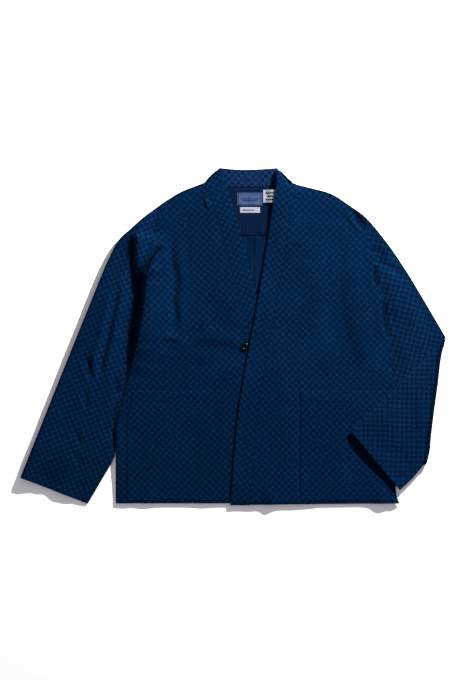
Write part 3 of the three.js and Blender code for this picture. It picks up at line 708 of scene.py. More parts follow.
class Nodes:
    """Short way to wire a material's nodes."""

    def __init__(self, name: str) -> None:
        """Starts a material with an empty node tree."""
        self.material = bpy.data.materials.new(name)
        self.material.use_nodes = True
        self.tree = self.material.node_tree
        self.tree.nodes.clear()

    def add(self, kind: str, inputs: dict | None = None, **settings: object) -> bpy.types.Node:
        """Adds a node.

        Args:
            kind: the node type without its ShaderNode prefix.
            inputs: socket name or number to a value or an output socket.
            settings: the node's own properties.

        Returns:
            The node.
        """
        node = self.tree.nodes.new("ShaderNode" + kind)
        for key, value in settings.items():
            setattr(node, key, value)
        for key, value in (inputs or {}).items():
            if isinstance(value, bpy.types.NodeSocket):
                self.tree.links.new(value, node.inputs[key])
            else:
                node.inputs[key].default_value = value
        return node

    def math(self, operation: str, *values: object) -> bpy.types.NodeSocket:
        """Output of a math node on the values."""
        return self.add("Math", dict(enumerate(values)), operation=operation).outputs[0]

    def blend(self, share: object, low: object, high: object) -> bpy.types.NodeSocket:
        """Output colour of a mix from low to high."""
        node = self.add("Mix", {0: share, 6: low, 7: high}, data_type="RGBA")
        return node.outputs[2]

    def wave(self, place: bpy.types.NodeSocket, half: float) -> bpy.types.NodeSocket:
        """Output of a sine along a place, with its half wave in millimetres."""
        return self.math("SINE", self.math("MULTIPLY", place, math.pi / (half * MM)))

    def noise(self, place: bpy.types.NodeSocket, scale: float,
              detail: float) -> bpy.types.NodeSocket:
        """Output of a noise over a place."""
        return self.add("TexNoise", {"Vector": place, "Scale": scale, "Detail": detail}).outputs[0]

    def spread(self, value: bpy.types.NodeSocket, low: float, high: float) -> bpy.types.NodeSocket:
        """The middle of a noise spread out from low to high."""
        return self.add("MapRange", {0: value, 1: 0.3, 2: 0.7, 3: low, 4: high}).outputs[0]

    def cloth(self, tone: bpy.types.NodeSocket, height: bpy.types.NodeSocket, relief: float,
              thick: float, roughness: float) -> bpy.types.Material:
        """Finishes a matt cloth.

        Args:
            tone: its colour.
            height: its weave.
            relief: how strongly the weave shows.
            thick: height of the weave, in metres.
            roughness: how matt it is.

        Returns:
            The material.
        """
        bump = self.add("Bump", {"Strength": relief, "Distance": thick, "Height": height})
        return self.finish(self.add("BsdfPrincipled", {
            "Base Color": tone, "Roughness": roughness, "Specular IOR Level": 0.015,
            "Normal": bump.outputs[0]}))

    def finish(self, shader: bpy.types.Node) -> bpy.types.Material:
        """Connects the shader to the output and returns the material."""
        self.add("OutputMaterial", {"Surface": shader.outputs[0]})
        return self.material


@dataclass(frozen=True)
class CheckedCotton:
    """Indigo cotton woven with a two-tone check of small squares."""

    name: str = "indigo_check"
    dark: tuple[int, int, int] = (0, 14, 36)
    light: tuple[int, int, int] = (1, 26, 53)
    relief: float = 0.35
    roughness: float = 0.92
    fold: float = 0.75  # how much of its colour the painted shade takes from the deepest folds
    blur: float = 0.4  # softness of the squares' edges
    thread: float = 0.42  # width of one thread, in millimetres

    def make(self) -> bpy.types.Material:
        """Builds the node material: squares, a little uneven, of speckled threads, darkened by
        painted shade.
        """
        n = Nodes(self.name)
        grain = n.add("UVMap", uv_map="grain").outputs[0]
        place = grain
        for scale, reach in ((9.0, 0.011), (70.0, 0.0026)):
            wobble = n.add("TexNoise", {"Vector": grain, "Scale": scale, "Detail": 2.0})
            shift = n.add("VectorMath", {0: wobble.outputs[1], 1: (0.5, 0.5, 0.5)},
                          operation="SUBTRACT").outputs[0]
            shift = n.add("VectorMath", {0: shift, "Scale": reach}, operation="SCALE").outputs[0]
            place = n.add("VectorMath", {0: place, 1: shift}, operation="ADD").outputs[0]
        warp_way, weft_way, _ = n.add("SeparateXYZ", {0: place}).outputs
        squares = n.math("MULTIPLY", n.wave(warp_way, CHECK), n.wave(weft_way, CHECK))
        square = n.add("MapRange", {0: squares, 1: -self.blur, 2: self.blur},
                       interpolation_type="SMOOTHSTEP").outputs[0]
        weave = n.math("MULTIPLY", n.wave(warp_way, self.thread), n.wave(weft_way, self.thread))
        slub = n.noise(grain, 340.0, 3.0)
        fade = n.spread(n.noise(grain, 9.0, 4.0), 0.86, 1.14)
        tone = n.blend(square, linear(*self.dark), linear(*self.light))
        # Painted shade from the fold_shade attribute: folds, the gully, the cuff's shadow and turned
        # edges lose up to fold of their colour.
        depth = n.add("Attribute", attribute_name="fold_shade").outputs["Fac"]
        open_ = n.math("SUBTRACT", 1.0, n.math("MULTIPLY", depth, self.fold))
        shade = n.math("MULTIPLY", n.math("MULTIPLY", fade, n.spread(slub, 0.4, 1.6)), open_)
        colour = n.add("VectorMath", {0: tone, "Scale": shade}, operation="SCALE").outputs[0]
        height = n.math("ADD", n.math("MULTIPLY", square, 0.5), n.math("MULTIPLY", weave, 0.25))
        height = n.math("ADD", height, n.math("MULTIPLY", slub, 0.4))
        return n.cloth(colour, height, self.relief, 0.0004, self.roughness)


@dataclass(frozen=True)
class PlainCloth:
    """A plain woven cloth or tape with fine ribs along its grain."""

    name: str
    colour: tuple[int, int, int]
    second: tuple[int, int, int]
    rib: float = 0.9  # from one rib to the next, in millimetres
    relief: float = 0.3
    roughness: float = 0.9
    weft: float = 0.6  # from one weft thread to the next

    def make(self) -> bpy.types.Material:
        """Builds the node material."""
        n = Nodes(self.name)
        grain = n.add("UVMap", uv_map="grain").outputs[0]
        across, down, _ = n.add("SeparateXYZ", {0: grain}).outputs
        stretch = n.add("Mapping", {"Vector": grain, "Scale": (260.0, 12.0, 1.0)}).outputs[0]
        streak = n.spread(n.noise(stretch, 1.0, 3.0), 0.0, 1.0)
        tone = n.blend(streak, linear(*self.colour), linear(*self.second))
        height = n.math("ADD", n.math("MULTIPLY", n.wave(across, self.rib / 2), 0.5),
                        n.math("MULTIPLY", n.wave(down, self.weft / 2), 0.3))
        return n.cloth(tone, height, self.relief, 0.0003, self.roughness)


@dataclass(frozen=True)
class GlossyTrim:
    """A hard polished trim with faint swirls."""

    name: str
    colour: tuple[int, int, int]
    roughness: float

    def make(self) -> bpy.types.Material:
        """Builds the node material."""
        n = Nodes(self.name)
        spot = n.add("TexCoord").outputs["Object"]
        swirl = n.noise(spot, 260.0, 3.0)
        rough = n.add("MapRange", {
            0: swirl, 3: self.roughness * 0.7, 4: self.roughness * 1.4}).outputs[0]
        bump = n.add("Bump", {"Strength": 0.12, "Distance": 0.0002, "Height": swirl})
        return n.finish(n.add("BsdfPrincipled", {
            "Base Color": linear(*self.colour), "Roughness": rough, "Normal": bump.outputs[0],
            "Specular IOR Level": 0.09}))


class Finishes:
    """Every finish of the jacket, made once."""

    def __init__(self) -> None:
        """Builds the materials."""
        self.check = CheckedCotton().make()
        self.yoke = PlainCloth("navy_yoke", (4, 18, 43), (2, 14, 37)).make()
        self.inside = PlainCloth(
            "indigo_wrong_side", (0, 12, 32), (2, 24, 50), rib=2.4, relief=0.5).make()
        self.blue = PlainCloth("label_blue_tape", (53, 69, 102), (44, 60, 92), 0.7).make()
        self.pale = PlainCloth("label_pale_tape", (136, 136, 148), (124, 124, 136), 0.7).make()
        self.motif = PlainCloth("label_thread", (92, 52, 96), (76, 46, 92), 0.7).make()
        self.thread = PlainCloth("sewing_thread", (3, 20, 44), (1, 15, 36), 0.4).make()
        self.cord = PlainCloth("loop_cord", (4, 10, 26), (2, 6, 18), 0.5).make()
        self.collar = CheckedCotton("indigo_check_collar", (4, 17, 41), (8, 31, 59)).make()
        self.sleeve = CheckedCotton("indigo_check_sleeve", (1, 15, 37), (2, 27, 55)).make()
        self.seam_thread = PlainCloth("seam_thread", (1, 24, 50), (1, 20, 44), 0.4).make()
        self.button = GlossyTrim("button_black", (1, 1, 1), 0.22).make()


# ---------------------------------------------------------------- making meshes
def make_mesh(name: str, points: np.ndarray, faces: list[tuple[int, ...]],
              material: bpy.types.Material, grain: Grain | float = 0.0,
              shade: Height | None = None, rims: int = 0,
              inner: bpy.types.Material | None = None, lined: slice = slice(0)) -> bpy.types.Object:
    """A mesh object from points in millimetres.

    Args:
        name: the piece's name.
        points: (n, 3) points.
        faces: corner numbers of each face, seen from outside.
        material: its finish.
        grain: the warp's angle, which turns the "grain" map.
        shade: painted shade of the cloth's folds at each place in plan, or None.
        rims: how many of the last faces are cut edges, which keep sharp corners.
        inner: the finish of the wrong side, or None for the same.
        lined: which faces are the wrong side.

    Returns:
        The object, linked to the scene and smooth shaded.
    """
    mesh = bpy.data.meshes.new(name)
    mesh.from_pydata((points * MM).tolist(), [], faces)
    angle = math.radians(grain.value if isinstance(grain, Grain) else grain)
    x, y = points[:, 0], points[:, 1]
    turned = np.stack([x * math.cos(angle) + y * math.sin(angle),
                       y * math.cos(angle) - x * math.sin(angle)], axis=1) * MM
    corners = np.empty(len(mesh.loops), dtype=np.int64)
    mesh.loops.foreach_get("vertex_index", corners)
    layer = mesh.uv_layers.new(name="grain")
    layer.data.foreach_set("uv", turned[corners].ravel())
    # Painted shade, stored for the cloth's material to darken its colour by.
    if shade:
        depth = mesh.attributes.new("fold_shade", "FLOAT", "POINT")
        depth.data.foreach_set("value", np.ascontiguousarray(shade(x, y), dtype=np.float32))
    mesh.materials.append(material)
    if inner:
        mesh.materials.append(inner)
        slots = np.zeros(len(faces), dtype=np.int32)
        slots[lined] = 1
        mesh.polygons.foreach_set("material_index", slots)
    smooth = np.arange(len(mesh.polygons)) < len(mesh.polygons) - rims
    mesh.polygons.foreach_set("use_smooth", smooth)
    mesh.validate()
    mesh.update()
    piece = bpy.data.objects.new(name, mesh)
    bpy.context.scene.collection.objects.link(piece)
    return piece


def outward(points: np.ndarray, faces: np.ndarray) -> np.ndarray:
    """Turns quads over if their closed surface faces inwards.

    Args:
        points: (n, 3) points.
        faces: (m, 4) corner numbers.

    Returns:
        The faces, all seen from outside.
    """
    a, b, c, d = (points[faces[:, k]] for k in range(4))
    volume = np.einsum("ij,ij->", a, np.cross(b, c)) + np.einsum("ij,ij->", a, np.cross(c, d))
    return faces if volume > 0 else faces[:, ::-1]


@dataclass(frozen=True)
class Patch:
    """Plan of a piece between four edges, from start to end and from first to last."""

    start: Path
    end: Path
    first: Path
    last: Path

    def at(self, u: np.ndarray, v: np.ndarray) -> np.ndarray:
        """Plan points at shares of the piece.

        Args:
            u, v: shares across and along it.

        Returns:
            (…, 2) points.
        """
        u2, v2 = np.asarray(u)[..., None], np.asarray(v)[..., None]
        edges = mix(self.start.at(u), self.end.at(u), v2) + mix(self.first.at(v), self.last.at(v), u2)
        corners = mix(mix(self.first.at(0), self.last.at(0), u2),
                      mix(self.first.at(1), self.last.at(1), u2), v2)
        return edges - corners

    def grid(self, long: float, wide: float, downs: np.ndarray, acrosses: np.ndarray) -> np.ndarray:
        """Rows of plan points at distances along and across the piece."""
        v, u = np.meshgrid(downs / long, acrosses / wide, indexing="ij")
        return self.at(u, v)


def wall(name: str, rows: np.ndarray, under: Height, thickness: float,
         material: bpy.types.Material, grain: Grain | float,
         trim: Height | None = None, inner: bpy.types.Material | None = None,
         shade: Height | None = None) -> bpy.types.Object:
    """A closed wall of cloth over a grid of plan points.

    Args:
        name: the piece's name.
        rows: (r, c, 2) plan points.
        under: height of its lower face.
        thickness: its wall.
        material: the finish of its face side.
        grain: the warp's angle.
        trim: a small height added to the face, such as a pressed hem, or None.
        inner: the finish of the wrong side, or None for the same.
        shade: painted shade of its folds in plan, or None.

    Returns:
        The piece.
    """
    x, y = rows[..., 0], rows[..., 1]
    high = under(x, y) + thickness + (trim(x, y) if trim else 0.0)
    top = np.dstack([x, y, high])
    across, down = np.gradient(top, axis=1), np.gradient(top, axis=0)
    normal = np.cross(across, down)
    normal *= np.sign(normal[..., 2:3].mean()) / np.linalg.norm(normal, axis=2, keepdims=True)
    bottom = top - thickness * normal
    bottom[..., 2] = np.maximum(bottom[..., 2], 0)
    tall, wide = x.shape
    count = tall * wide
    index = np.arange(count).reshape(tall, wide)
    a, b, c, d = index[:-1, :-1], index[:-1, 1:], index[1:, 1:], index[1:, :-1]
    face = np.stack([a, b, c, d], axis=-1).reshape(-1, 4)
    rim = np.concatenate([index[0, :-1], index[:-1, -1], index[-1, :0:-1], index[:0:-1, 0]])
    ahead = np.roll(rim, -1)
    sides = np.stack([rim, rim + count, ahead + count, ahead], axis=1)
    points = np.vstack([top.reshape(-1, 3), bottom.reshape(-1, 3)])
    quads = outward(points, np.vstack([face, face[:, ::-1] + count, sides]))
    return make_mesh(name, points, quads.tolist(), material, grain, shade, len(sides), inner,
                     slice(len(face), 2 * len(face)))


def box_of(node: str) -> list[np.ndarray]:
    """Low and high corners of a CAD node's box, in millimetres."""
    return [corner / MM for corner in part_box(node)]


def cut_area(piece: bpy.types.Object) -> float:
    """Area of one face of a closed wall, in square metres."""
    return sum(p.area for p in piece.data.polygons) / 2


def stand_for(piece: bpy.types.Object, node: str) -> None:
    """Puts a piece in a CAD node's place.

    Args:
        piece: the finished mesh.
        node: the CAD node it stands for.
    """
    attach(piece, "root")
    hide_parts(node)
    LOG.info("%s: in place of %s, %d faces", piece.name, node, len(piece.data.polygons))


def declare(piece: bpy.types.Object, node: str, flat: tuple[float, float]) -> None:
    """Puts a cloth piece in its CAD node's place and states its cut.

    Args:
        piece: the finished mesh.
        node: the CAD node it stands for.
        flat: width and length of the cut, in millimetres.
    """
    stand_for(piece, node)
    LOG.info("%s: cut %.0f x %.0f mm, %.3f of it cloth", piece.name, *flat,
             cut_area(piece) / (flat[0] * flat[1] * MM * MM))


def follow(piece: bpy.types.Object) -> None:
    """Makes a small added piece ride with the jacket.

    Args:
        piece: the finished mesh.
    """
    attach(piece, "root")
    LOG.info("%s: added, %d faces", piece.name, len(piece.data.polygons))


# ---------------------------------------------------------------- body
@dataclass
class Body:
    """The back, the fronts with their pockets, and the yoke inside the neck."""

    lay: Lay
    finishes: Finishes
    step: float = 3.2
    allowance_half: float = 5.0
    allowance_thick: float = 0.35
    centre_x: float = 42.5  # the back's centre seam
    centre_half: float = 4.8  # from it to the middle of each allowance
    centre_thick: float = 0.5
    yoke_thick: float = 1.0
    pocket_top: float = -114.0
    pocket_hem: float = HEM_Y + 5
    pocket_step: float = 4.5
    pocket_mouth: float = 22.0  # depth of the turned mouth

    def build(self) -> None:
        """Makes every panel of the body."""
        self.back()
        self.yoke()
        self.fronts()
        self.pockets()
        self.allowance("left", Path(ARMHOLE_LEFT))
        self.allowance("right", Path(ARMHOLE_RIGHT))

    def allowance(self, side: str, seam: Path) -> None:
        """The seam allowance inside an armhole, pressed flat between back and front.

        Args:
            side: left or right, for the name.
            seam: plan of the armhole.
        """
        centre = seam.at(np.linspace(0.03, 0.985, 110))
        reach = np.linspace(-self.allowance_half, self.allowance_half, 5)
        rows = centre[:, None] + sideways(centre)[:, None] * reach[None, :, None]
        piece = wall(f"haori_armhole_allowance_{side}", rows, level(CLOTH + ON_CLOTH),
                     self.allowance_thick, self.finishes.inside, 0.0)
        follow(piece)

    def back(self) -> None:
        """The back panel, face down on the floor, with its centre seam pressed open."""
        hem = ((-246.5, BACK_HEM_Y), (347, BACK_HEM_Y))
        left = Path(np.vstack([Path(SHOULDER_LEFT).line[::-1], Path(ARMHOLE_LEFT).line[1:],
                               hem[:1]]), straight=True)
        right = Path(np.vstack([Path(SHOULDER_RIGHT).line, Path(ARMHOLE_RIGHT).line[1:],
                                Path(SIDE_RIGHT, steps=6).line[1:-1], hem[1:]]), straight=True)
        u, v = np.meshgrid(np.linspace(0, 1, 61), np.linspace(0, 1, 81))
        rows = Patch(Path(NECK_SEAM), Path(hem), left, right).at(u, v) - (0, NECK_SEWN)
        piece = wall("haori_back", rows, level(0.0), CLOTH, self.finishes.inside, Grain.BACK,
                     inner=self.finishes.check)
        declare(piece, "back", (596, 672))
        for side, way in (("left", -1), ("right", 1)):
            x0 = self.centre_x + way * self.centre_half
            strip = np.stack(np.meshgrid(
                x0 + np.array([-4.2, -3.4, 0, 3.4, 4.2]), np.linspace(211, HEM_Y + 12, 120)),
                axis=-1)
            fold = wall(f"haori_centre_seam_{side}", strip, lambda x, y, x0=x0: (
                CLOTH + ON_CLOTH - 0.25 * ease((abs(x - x0) - 3) / 2)),
                self.centre_thick, self.finishes.inside, Grain.BACK)
            follow(fold)

    def yoke(self) -> None:
        """The plain navy yoke inside the back of the neck."""
        low, high = box_of("back_yoke")
        x = np.linspace(low[0], high[0], 41)
        y = spacing(high[1] - low[1], (0, 1, 2.5), 3.5)
        rows = np.stack(np.meshgrid(x, high[1] - y), axis=-1)

        def hem(px: np.ndarray, py: np.ndarray) -> np.ndarray:
            """Height of the yoke's stitched edge and of its ripples."""
            edge = np.minimum(py - low[1], high[1] - py)
            row = bell(py - low[1] - 4.9, 0.9)
            return 0.12 * self.lay.ripple(px * 2, py * 2) - 0.35 * row - 0.3 * (1 - roll(edge, 1.5))

        piece = wall("haori_yoke", rows, level(low[2]), self.yoke_thick, self.finishes.yoke,
                     Grain.BACK, trim=hem)
        declare(piece, "back_yoke", (160, 99))

    def front(self, side: str, rows: np.ndarray, seam: Path, under: Height, grain: Grain,
              flat: tuple[float, float], rests_on: Sequence[str]) -> None:
        """One front, its seam pressed beside the band and its hem turned up.

        Args:
            side: left or right, for the names.
            rows: (r, c, 2) plan points.
            seam: plan of its seam with the band.
            under: height of its lower face.
            grain: the warp's angle.
            flat: width and length of the cut.
            rests_on: names of what it lies on; not used.
        """
        def press(x: np.ndarray, y: np.ndarray) -> np.ndarray:
            """Height of the pressed seam and of the turned hem."""
            hem = y - HEM_Y
            return (-0.03 * bell(seam.nearest(x, y)[0], 2.2) - 0.28 * bell(hem - 20, 1.8)
                    + 0.25 * ease((21 - hem) / 2))

        piece = wall(f"haori_front_{side}", rows, under, CLOTH, self.finishes.check, grain,
                     trim=press, inner=self.finishes.inside, shade=self.lay.fold_shade)
        declare(piece, f"front_{side}", flat)

    def fronts(self) -> None:
        """Both fronts, from the shoulder to the hem."""
        down = spacing(PANEL_LENGTH, NEAR_SHOULDER, self.step, NEAR_HEM)
        seam = Path([(-62, 322), *shifted(EDGE_LEFT[1:], -BAND_WIDTH - SEWN)])
        plan = Patch(Path(SHOULDER_LEFT), Path([SIDE_LEFT[1], tuple(seam.line[-1])]),
                     chain(Path(ARMHOLE_LEFT), Path(SIDE_LEFT)), seam)
        across = spacing(300, (SEWN, 1, 2, 3.5, 5.5, 8, 11, 15, 19, 23), self.step, (0, 1.5, 3.5))
        self.front("left", plan.grid(PANEL_LENGTH, 300, down, across), seam, self.lay.under_left,
                   Grain.FRONT_LEFT, (326, 676), ("back", "back_yoke"))

        end_x = EDGE_RIGHT[-1][0] + BAND_WIDTH + SEWN
        seam = Path([(119, 322), *shifted(EDGE_RIGHT[1:-1], BAND_WIDTH + SEWN), (end_x, -353)])
        plan = Patch(Path(SHOULDER_RIGHT), Path([(end_x, -353), SIDE_RIGHT[2]]), seam,
                     chain(Path(ARMHOLE_RIGHT), Path(SIDE_RIGHT, steps=8)))
        across = spacing(250, (0, 1.5, 3.5), self.step, (SEWN, 1.5, 3.5, 6, 9))
        self.front("right", plan.grid(PANEL_LENGTH, 250, down, across), seam, self.lay.under_right,
                   Grain.FRONT_RIGHT, (316, 676), ("back", "back_yoke", "front_left"))

    def pockets(self) -> None:
        specs = (("pocket_left", -212.0, -224.0, -16.0, self.lay.under_left, Grain.FRONT_LEFT),
                 ("pocket_right", 140.0, 140.0, 336.0, self.lay.under_right, Grain.FRONT_RIGHT))
        near, columns = (0, 0.8, 2, 4), 50
        tall = self.pocket_top - self.pocket_hem
        for node, top_from, low_from, to, under, grain in specs:
            rows = []
            for d in spacing(tall, near, self.pocket_step):
                start = mix(top_from, low_from, ease(d / 80))
                across = spacing(to - start, near, self.pocket_step)
                count = np.linspace(0, len(across) - 1, columns)
                rows.append(np.stack([start + np.interp(count, range(len(across)), across),
                                      np.full(columns, self.pocket_top - d)], axis=1))

            def shape(x: np.ndarray, y: np.ndarray, low_from=low_from, to=to) -> np.ndarray:
                """Height of the pocket's pressed edges and of its stitched mouth."""
                inner = np.minimum(x - low_from, to - x)
                edge = np.minimum(inner, np.minimum(self.pocket_top - y, y - self.pocket_hem))
                mouth = bell(self.pocket_top - self.pocket_mouth - y, 1.4)
                return -0.5 * (1 - roll(edge, 2.5)) - 0.2 * mouth

            piece = wall(f"haori_{node}", np.array(rows),
                         lambda x, y, under=under: under(x, y) + CLOTH + ON_FRONT, POCKET_CLOTH,
                         self.finishes.check, grain, trim=shape, shade=self.lay.fold_shade)
            declare(piece, node, (to - low_from, tall))


# ---------------------------------------------------------------- neck band
@dataclass
class NeckBand:
    """The doubled band that runs from one hem round the neck to the other."""

    lay: Lay
    finishes: Finishes
    step: float = 4.5
    seam_press: float = 0.03  # depth of the pressed line at the seam with the front

    def build(self) -> None:
        """Makes the two front stretches and the back one."""
        self.front("left", EDGE_LEFT, (-61.7, 322.3), -1, self.lay.under_left, Grain.BAND_LEFT)
        self.front("right", EDGE_RIGHT, (118.7, 322.3), 1, self.lay.under_right, Grain.BAND_RIGHT)
        self.back()

    def front(self, side: str, edge: Points, neck: tuple[float, float], way: int, under: Height,
              grain: Grain) -> None:
        """One front stretch, its free edge folded round and its seam edge pressed.

        Args:
            side: left or right, for the names.
            edge: plan of the free edge, from the collar down.
            neck: plan point where the band crosses the shoulder.
            way: +1 if the seam is on the +X side of the edge.
            under: height of its lower face.
            grain: the warp's angle.
        """
        free = Path(edge)
        seam = Path([neck, *shifted(edge[1:], way * BAND_WIDTH)])
        plan = Patch(Path([edge[0], NECK_TURN[side], neck]),
                     Path([edge[-1], tuple(seam.line[-1])]), free, seam)
        down = spacing(PANEL_LENGTH, NEAR_SHOULDER, self.step, NEAR_HEM)
        across = spacing(BAND_WIDTH, (0, 0.5, 1.2, 2.2, 4), 3.2, (0, 0.8, 2, 3.5))
        rows = plan.grid(PANEL_LENGTH, BAND_WIDTH, down, across)

        def fold(x: np.ndarray, y: np.ndarray) -> np.ndarray:
            """Height of the band's crown, its rolled edge and its pressed seam."""
            outer, inner = free.nearest(x, y)[0], seam.nearest(x, y)[0]
            crown = 0.4 * np.sin(math.pi * np.clip(outer / BAND_WIDTH, 0, 1)) - 0.4
            return crown - 0.7 * (1 - roll(outer, 2.2)) - self.seam_press * bell(inner, 1.6)

        piece = wall(f"haori_band_{side}", rows, under, BAND_CLOTH, self.finishes.check, grain,
                     trim=fold, shade=self.lay.fold_shade)
        declare(piece, f"band_{side}", (BAND_WIDTH, 712))

    def back(self) -> None:
        """The back stretch, its inner face up, flat on the floor above the neck seam."""
        top = Path([COLLAR_LEFT, (4, 350.8), (33, 350.4), (62, 351.6), COLLAR_RIGHT], steps=16)
        neck = Path(np.asarray(NECK_SEAM) + (0, NECK_SEWN))
        plan = Patch(top, neck, Path([COLLAR_LEFT, NECK_TURN["left"], tuple(neck.line[0])]),
                     Path([COLLAR_RIGHT, NECK_TURN["right"], tuple(neck.line[-1])]))
        u, v = np.meshgrid(np.linspace(0, 1, 46), spacing(1, (0, 0.02, 0.05, 0.1), 0.09))

        def fold(x: np.ndarray, y: np.ndarray) -> np.ndarray:
            """Height of the rolled top, the sunk neck seam and the cloth's ripples."""
            return (-0.6 * (1 - roll(top.nearest(x, y)[0], 2.0))
                    - 1.1 * bell(neck.nearest(x, y)[0], 1.8)
                    - 0.12 * (1 + np.sin(x / 9 + y / 21)) * 0.5)

        # Painted shade along the sunk neck seam darkens the band's colour there.
        piece = wall("haori_band_back", plan.at(u, v), level(0.0), BAND_CLOTH,
                     self.finishes.collar, Grain.BAND_BACK, trim=fold,
                     shade=lambda x, y: bell(neck.nearest(x, y)[0], 1.6))
        declare(piece, "band_back", (178, BAND_WIDTH))


# ---------------------------------------------------------------- sleeves
@dataclass
class Ring:
    """One station of a flattened sleeve: its outer and inner loops, (n, 3) points each."""

    outer: np.ndarray
    inner: np.ndarray


Place = Callable[[np.ndarray, np.ndarray, np.ndarray], np.ndarray]


def flat_place(x: np.ndarray, y: np.ndarray, z: np.ndarray) -> np.ndarray:
    """Points where they lie."""
    return np.stack([x, y, z], axis=-1)


@dataclass
class Sleeves:
    """The left sleeve laid straight, and the right one folded back at the elbow."""

    lay: Lay
    finishes: Finishes
    near: tuple[float, ...] = (0, 0.3, 1, 2.2, 4, 6.5, 9.5, 13)
    near_cuff: tuple[float, ...] = (0, 1, 2.5, 5)
    across: int = 100
    step: float = 4.6
    left_length: float = 470.0
    upper_length: float = 220.0
    forearm_length: float = 200.0
    cuff_hem: float = 20.0
    tip_reach: float = 22.0  # the elbow's tip is flatter for this far
    fold_out: tuple[float, float] = (0.985, -0.17)  # which way the elbow fold bulges

    def build(self) -> None:
        """Makes the left sleeve and the two stretches of the right one."""
        self.left()
        self.right_upper()
        self.right_forearm()

    def distances(self, length: float) -> np.ndarray:
        """Distances across a sleeve, the same number at every station."""
        low, high = self.near[-1], length - self.near[-1]
        middle = np.linspace(low, high, self.across)[1:-1]
        return np.concatenate([self.near, middle, length - np.asarray(self.near)[::-1]])

    def ring(self, patch: Patch, v: float, lower: Height, upper: Height,
             place: Place = flat_place, hem: float = 0.0) -> Ring:
        """One station of a sleeve.

        Args:
            patch: the sleeve's plan.
            v: share of the way along it.
            lower, upper: heights of its outer faces.
            place: where a plan point goes at a height.
            hem: how far the faces are pinched together, as by a line of stitches.

        Returns:
            The station, its loops starting at the first edge on the lower face.
        """
        row = patch.at(np.linspace(0, 1, 25), np.full(25, v))
        length = float(np.linalg.norm(np.diff(row, axis=0), axis=1).sum())
        d = self.distances(length)
        loops = []
        for inset in (0.0, CLOTH):
            share = (inset + (length - 2 * inset) * (d / length)) / length
            x, y = patch.at(share, np.full_like(share, v)).T
            round_ = roll(np.minimum(d, length - d), SLEEVE_ROLL)
            low, high = lower(x, y) + inset, upper(x, y) - inset - hem
            middle = mix(low, high, 0.5)
            down = place(x, y, mix(middle, low, round_))
            up = place(x, y, mix(middle, high, round_))
            loops.append(np.vstack([down, up[1:-1][::-1]]))
        return Ring(*loops)

    @staticmethod
    def tube(name: str, rings: Sequence[Ring], material: bpy.types.Material, inner:
             bpy.types.Material, grain: Grain, shade: Height | None = None) -> bpy.types.Object:
        """A closed wall through the rings, open at both ends of the sleeve.

        Args:
            name: the piece's name.
            rings: its stations, in order.
            material, inner: finishes of the face side and the wrong side.
            grain: the warp's angle.
            shade: painted shade of its folds in plan, or None.

        Returns:
            The piece.
        """
        size, count = len(rings[0].outer), len(rings)
        points = np.vstack([loop for ring in rings for loop in (ring.outer, ring.inner)])
        r, i = np.meshgrid(np.arange(count - 1), np.arange(size), indexing="ij")
        ahead = (i + 1) % size

        def at(ring: np.ndarray, layer: int, corner: np.ndarray) -> np.ndarray:
            """Numbers of corners, by ring, loop and place in the loop."""
            return (ring * 2 + layer) * size + corner

        skin = np.stack([at(r, 0, i), at(r, 0, ahead), at(r + 1, 0, ahead), at(r + 1, 0, i)], -1)
        lining = np.stack([at(r, 1, ahead), at(r, 1, i), at(r + 1, 1, i), at(r + 1, 1, ahead)], -1)
        k = np.arange(size)
        nxt = (k + 1) % size
        first = np.stack([at(0, 1, k), at(0, 1, nxt), at(0, 0, nxt), at(0, 0, k)], -1)
        end = count - 1
        last = np.stack([at(end, 0, k), at(end, 0, nxt), at(end, 1, nxt), at(end, 1, k)], -1)
        lots = [part.reshape(-1, 4) for part in (skin, lining, first, last)]
        faces = outward(points, np.vstack(lots))
        return make_mesh(name, points, faces.tolist(), material, grain, shade,
                         len(lots[2]) + len(lots[3]), inner,
                         slice(len(lots[0]), len(lots[0]) + len(lots[1])))

    def pinch(self, run: float, length: float) -> float:
        """How far the cuff's stitch line pinches the faces, at a distance along the sleeve."""
        return 0.5 * float(bell(length - self.cuff_hem - run, 1.8))

    @staticmethod
    def from_armhole(armhole: Points, end: Points, outer: Points, inner: Points) -> Patch:
        """Plan of a sleeve sewn into its armhole.

        Args:
            armhole, end: plan of its two ends.
            outer, inner: its long edges, which start where the armhole does and ends.

        Returns:
            The plan.
        """
        return Patch(Path(armhole), Path(end), Path([armhole[0], *outer[1:]]),
                     Path([armhole[-1], *inner[1:]]))

    def left(self) -> None:
        """The left sleeve, full along its outer edge and thin along the underarm."""
        plan = self.from_armhole(shifted(ARMHOLE_LEFT, -SEWN),
                                 [SLEEVE_LEFT_OUTER[-1], SLEEVE_LEFT_INNER[-1]],
                                 SLEEVE_LEFT_OUTER, SLEEVE_LEFT_INNER)
        long = self.left_length
        runs = spacing(long, (0, 1, 2.5, 4.5, 7, 10, 14), self.step, self.near_cuff)
        rings = [self.ring(plan, d / long, level(0.0), self.lay.sleeve_left,
                           hem=self.pinch(d, long)) for d in runs]
        piece = self.tube("haori_sleeve_left", rings, self.finishes.sleeve, self.finishes.inside,
                          Grain.SLEEVE_LEFT, self.lay.fold_shade)
        declare(piece, "sleeve_left", (330, 660))

    def right_upper(self) -> None:
        """The upper arm, from the armhole to the elbow fold."""
        plan = self.from_armhole(shifted(ARMHOLE_RIGHT, SEWN), ELBOW_FOLD, SLEEVE_RIGHT_OUTER,
                                 SLEEVE_RIGHT_INNER)
        long = self.upper_length
        runs = spacing(long, (0, 1, 2.5, 4.5, 7, 10), self.step, (0.8, 3, 6))
        rings = [self.ring(plan, d / long, level(0.0), self.lay.upper_arm) for d in runs]
        piece = self.tube("haori_sleeve_right_upper", rings, self.finishes.sleeve,
                          self.finishes.inside, Grain.SLEEVE_RIGHT_UPPER, self.lay.fold_shade)
        declare(piece, "sleeve_right_upper", (400, 520))

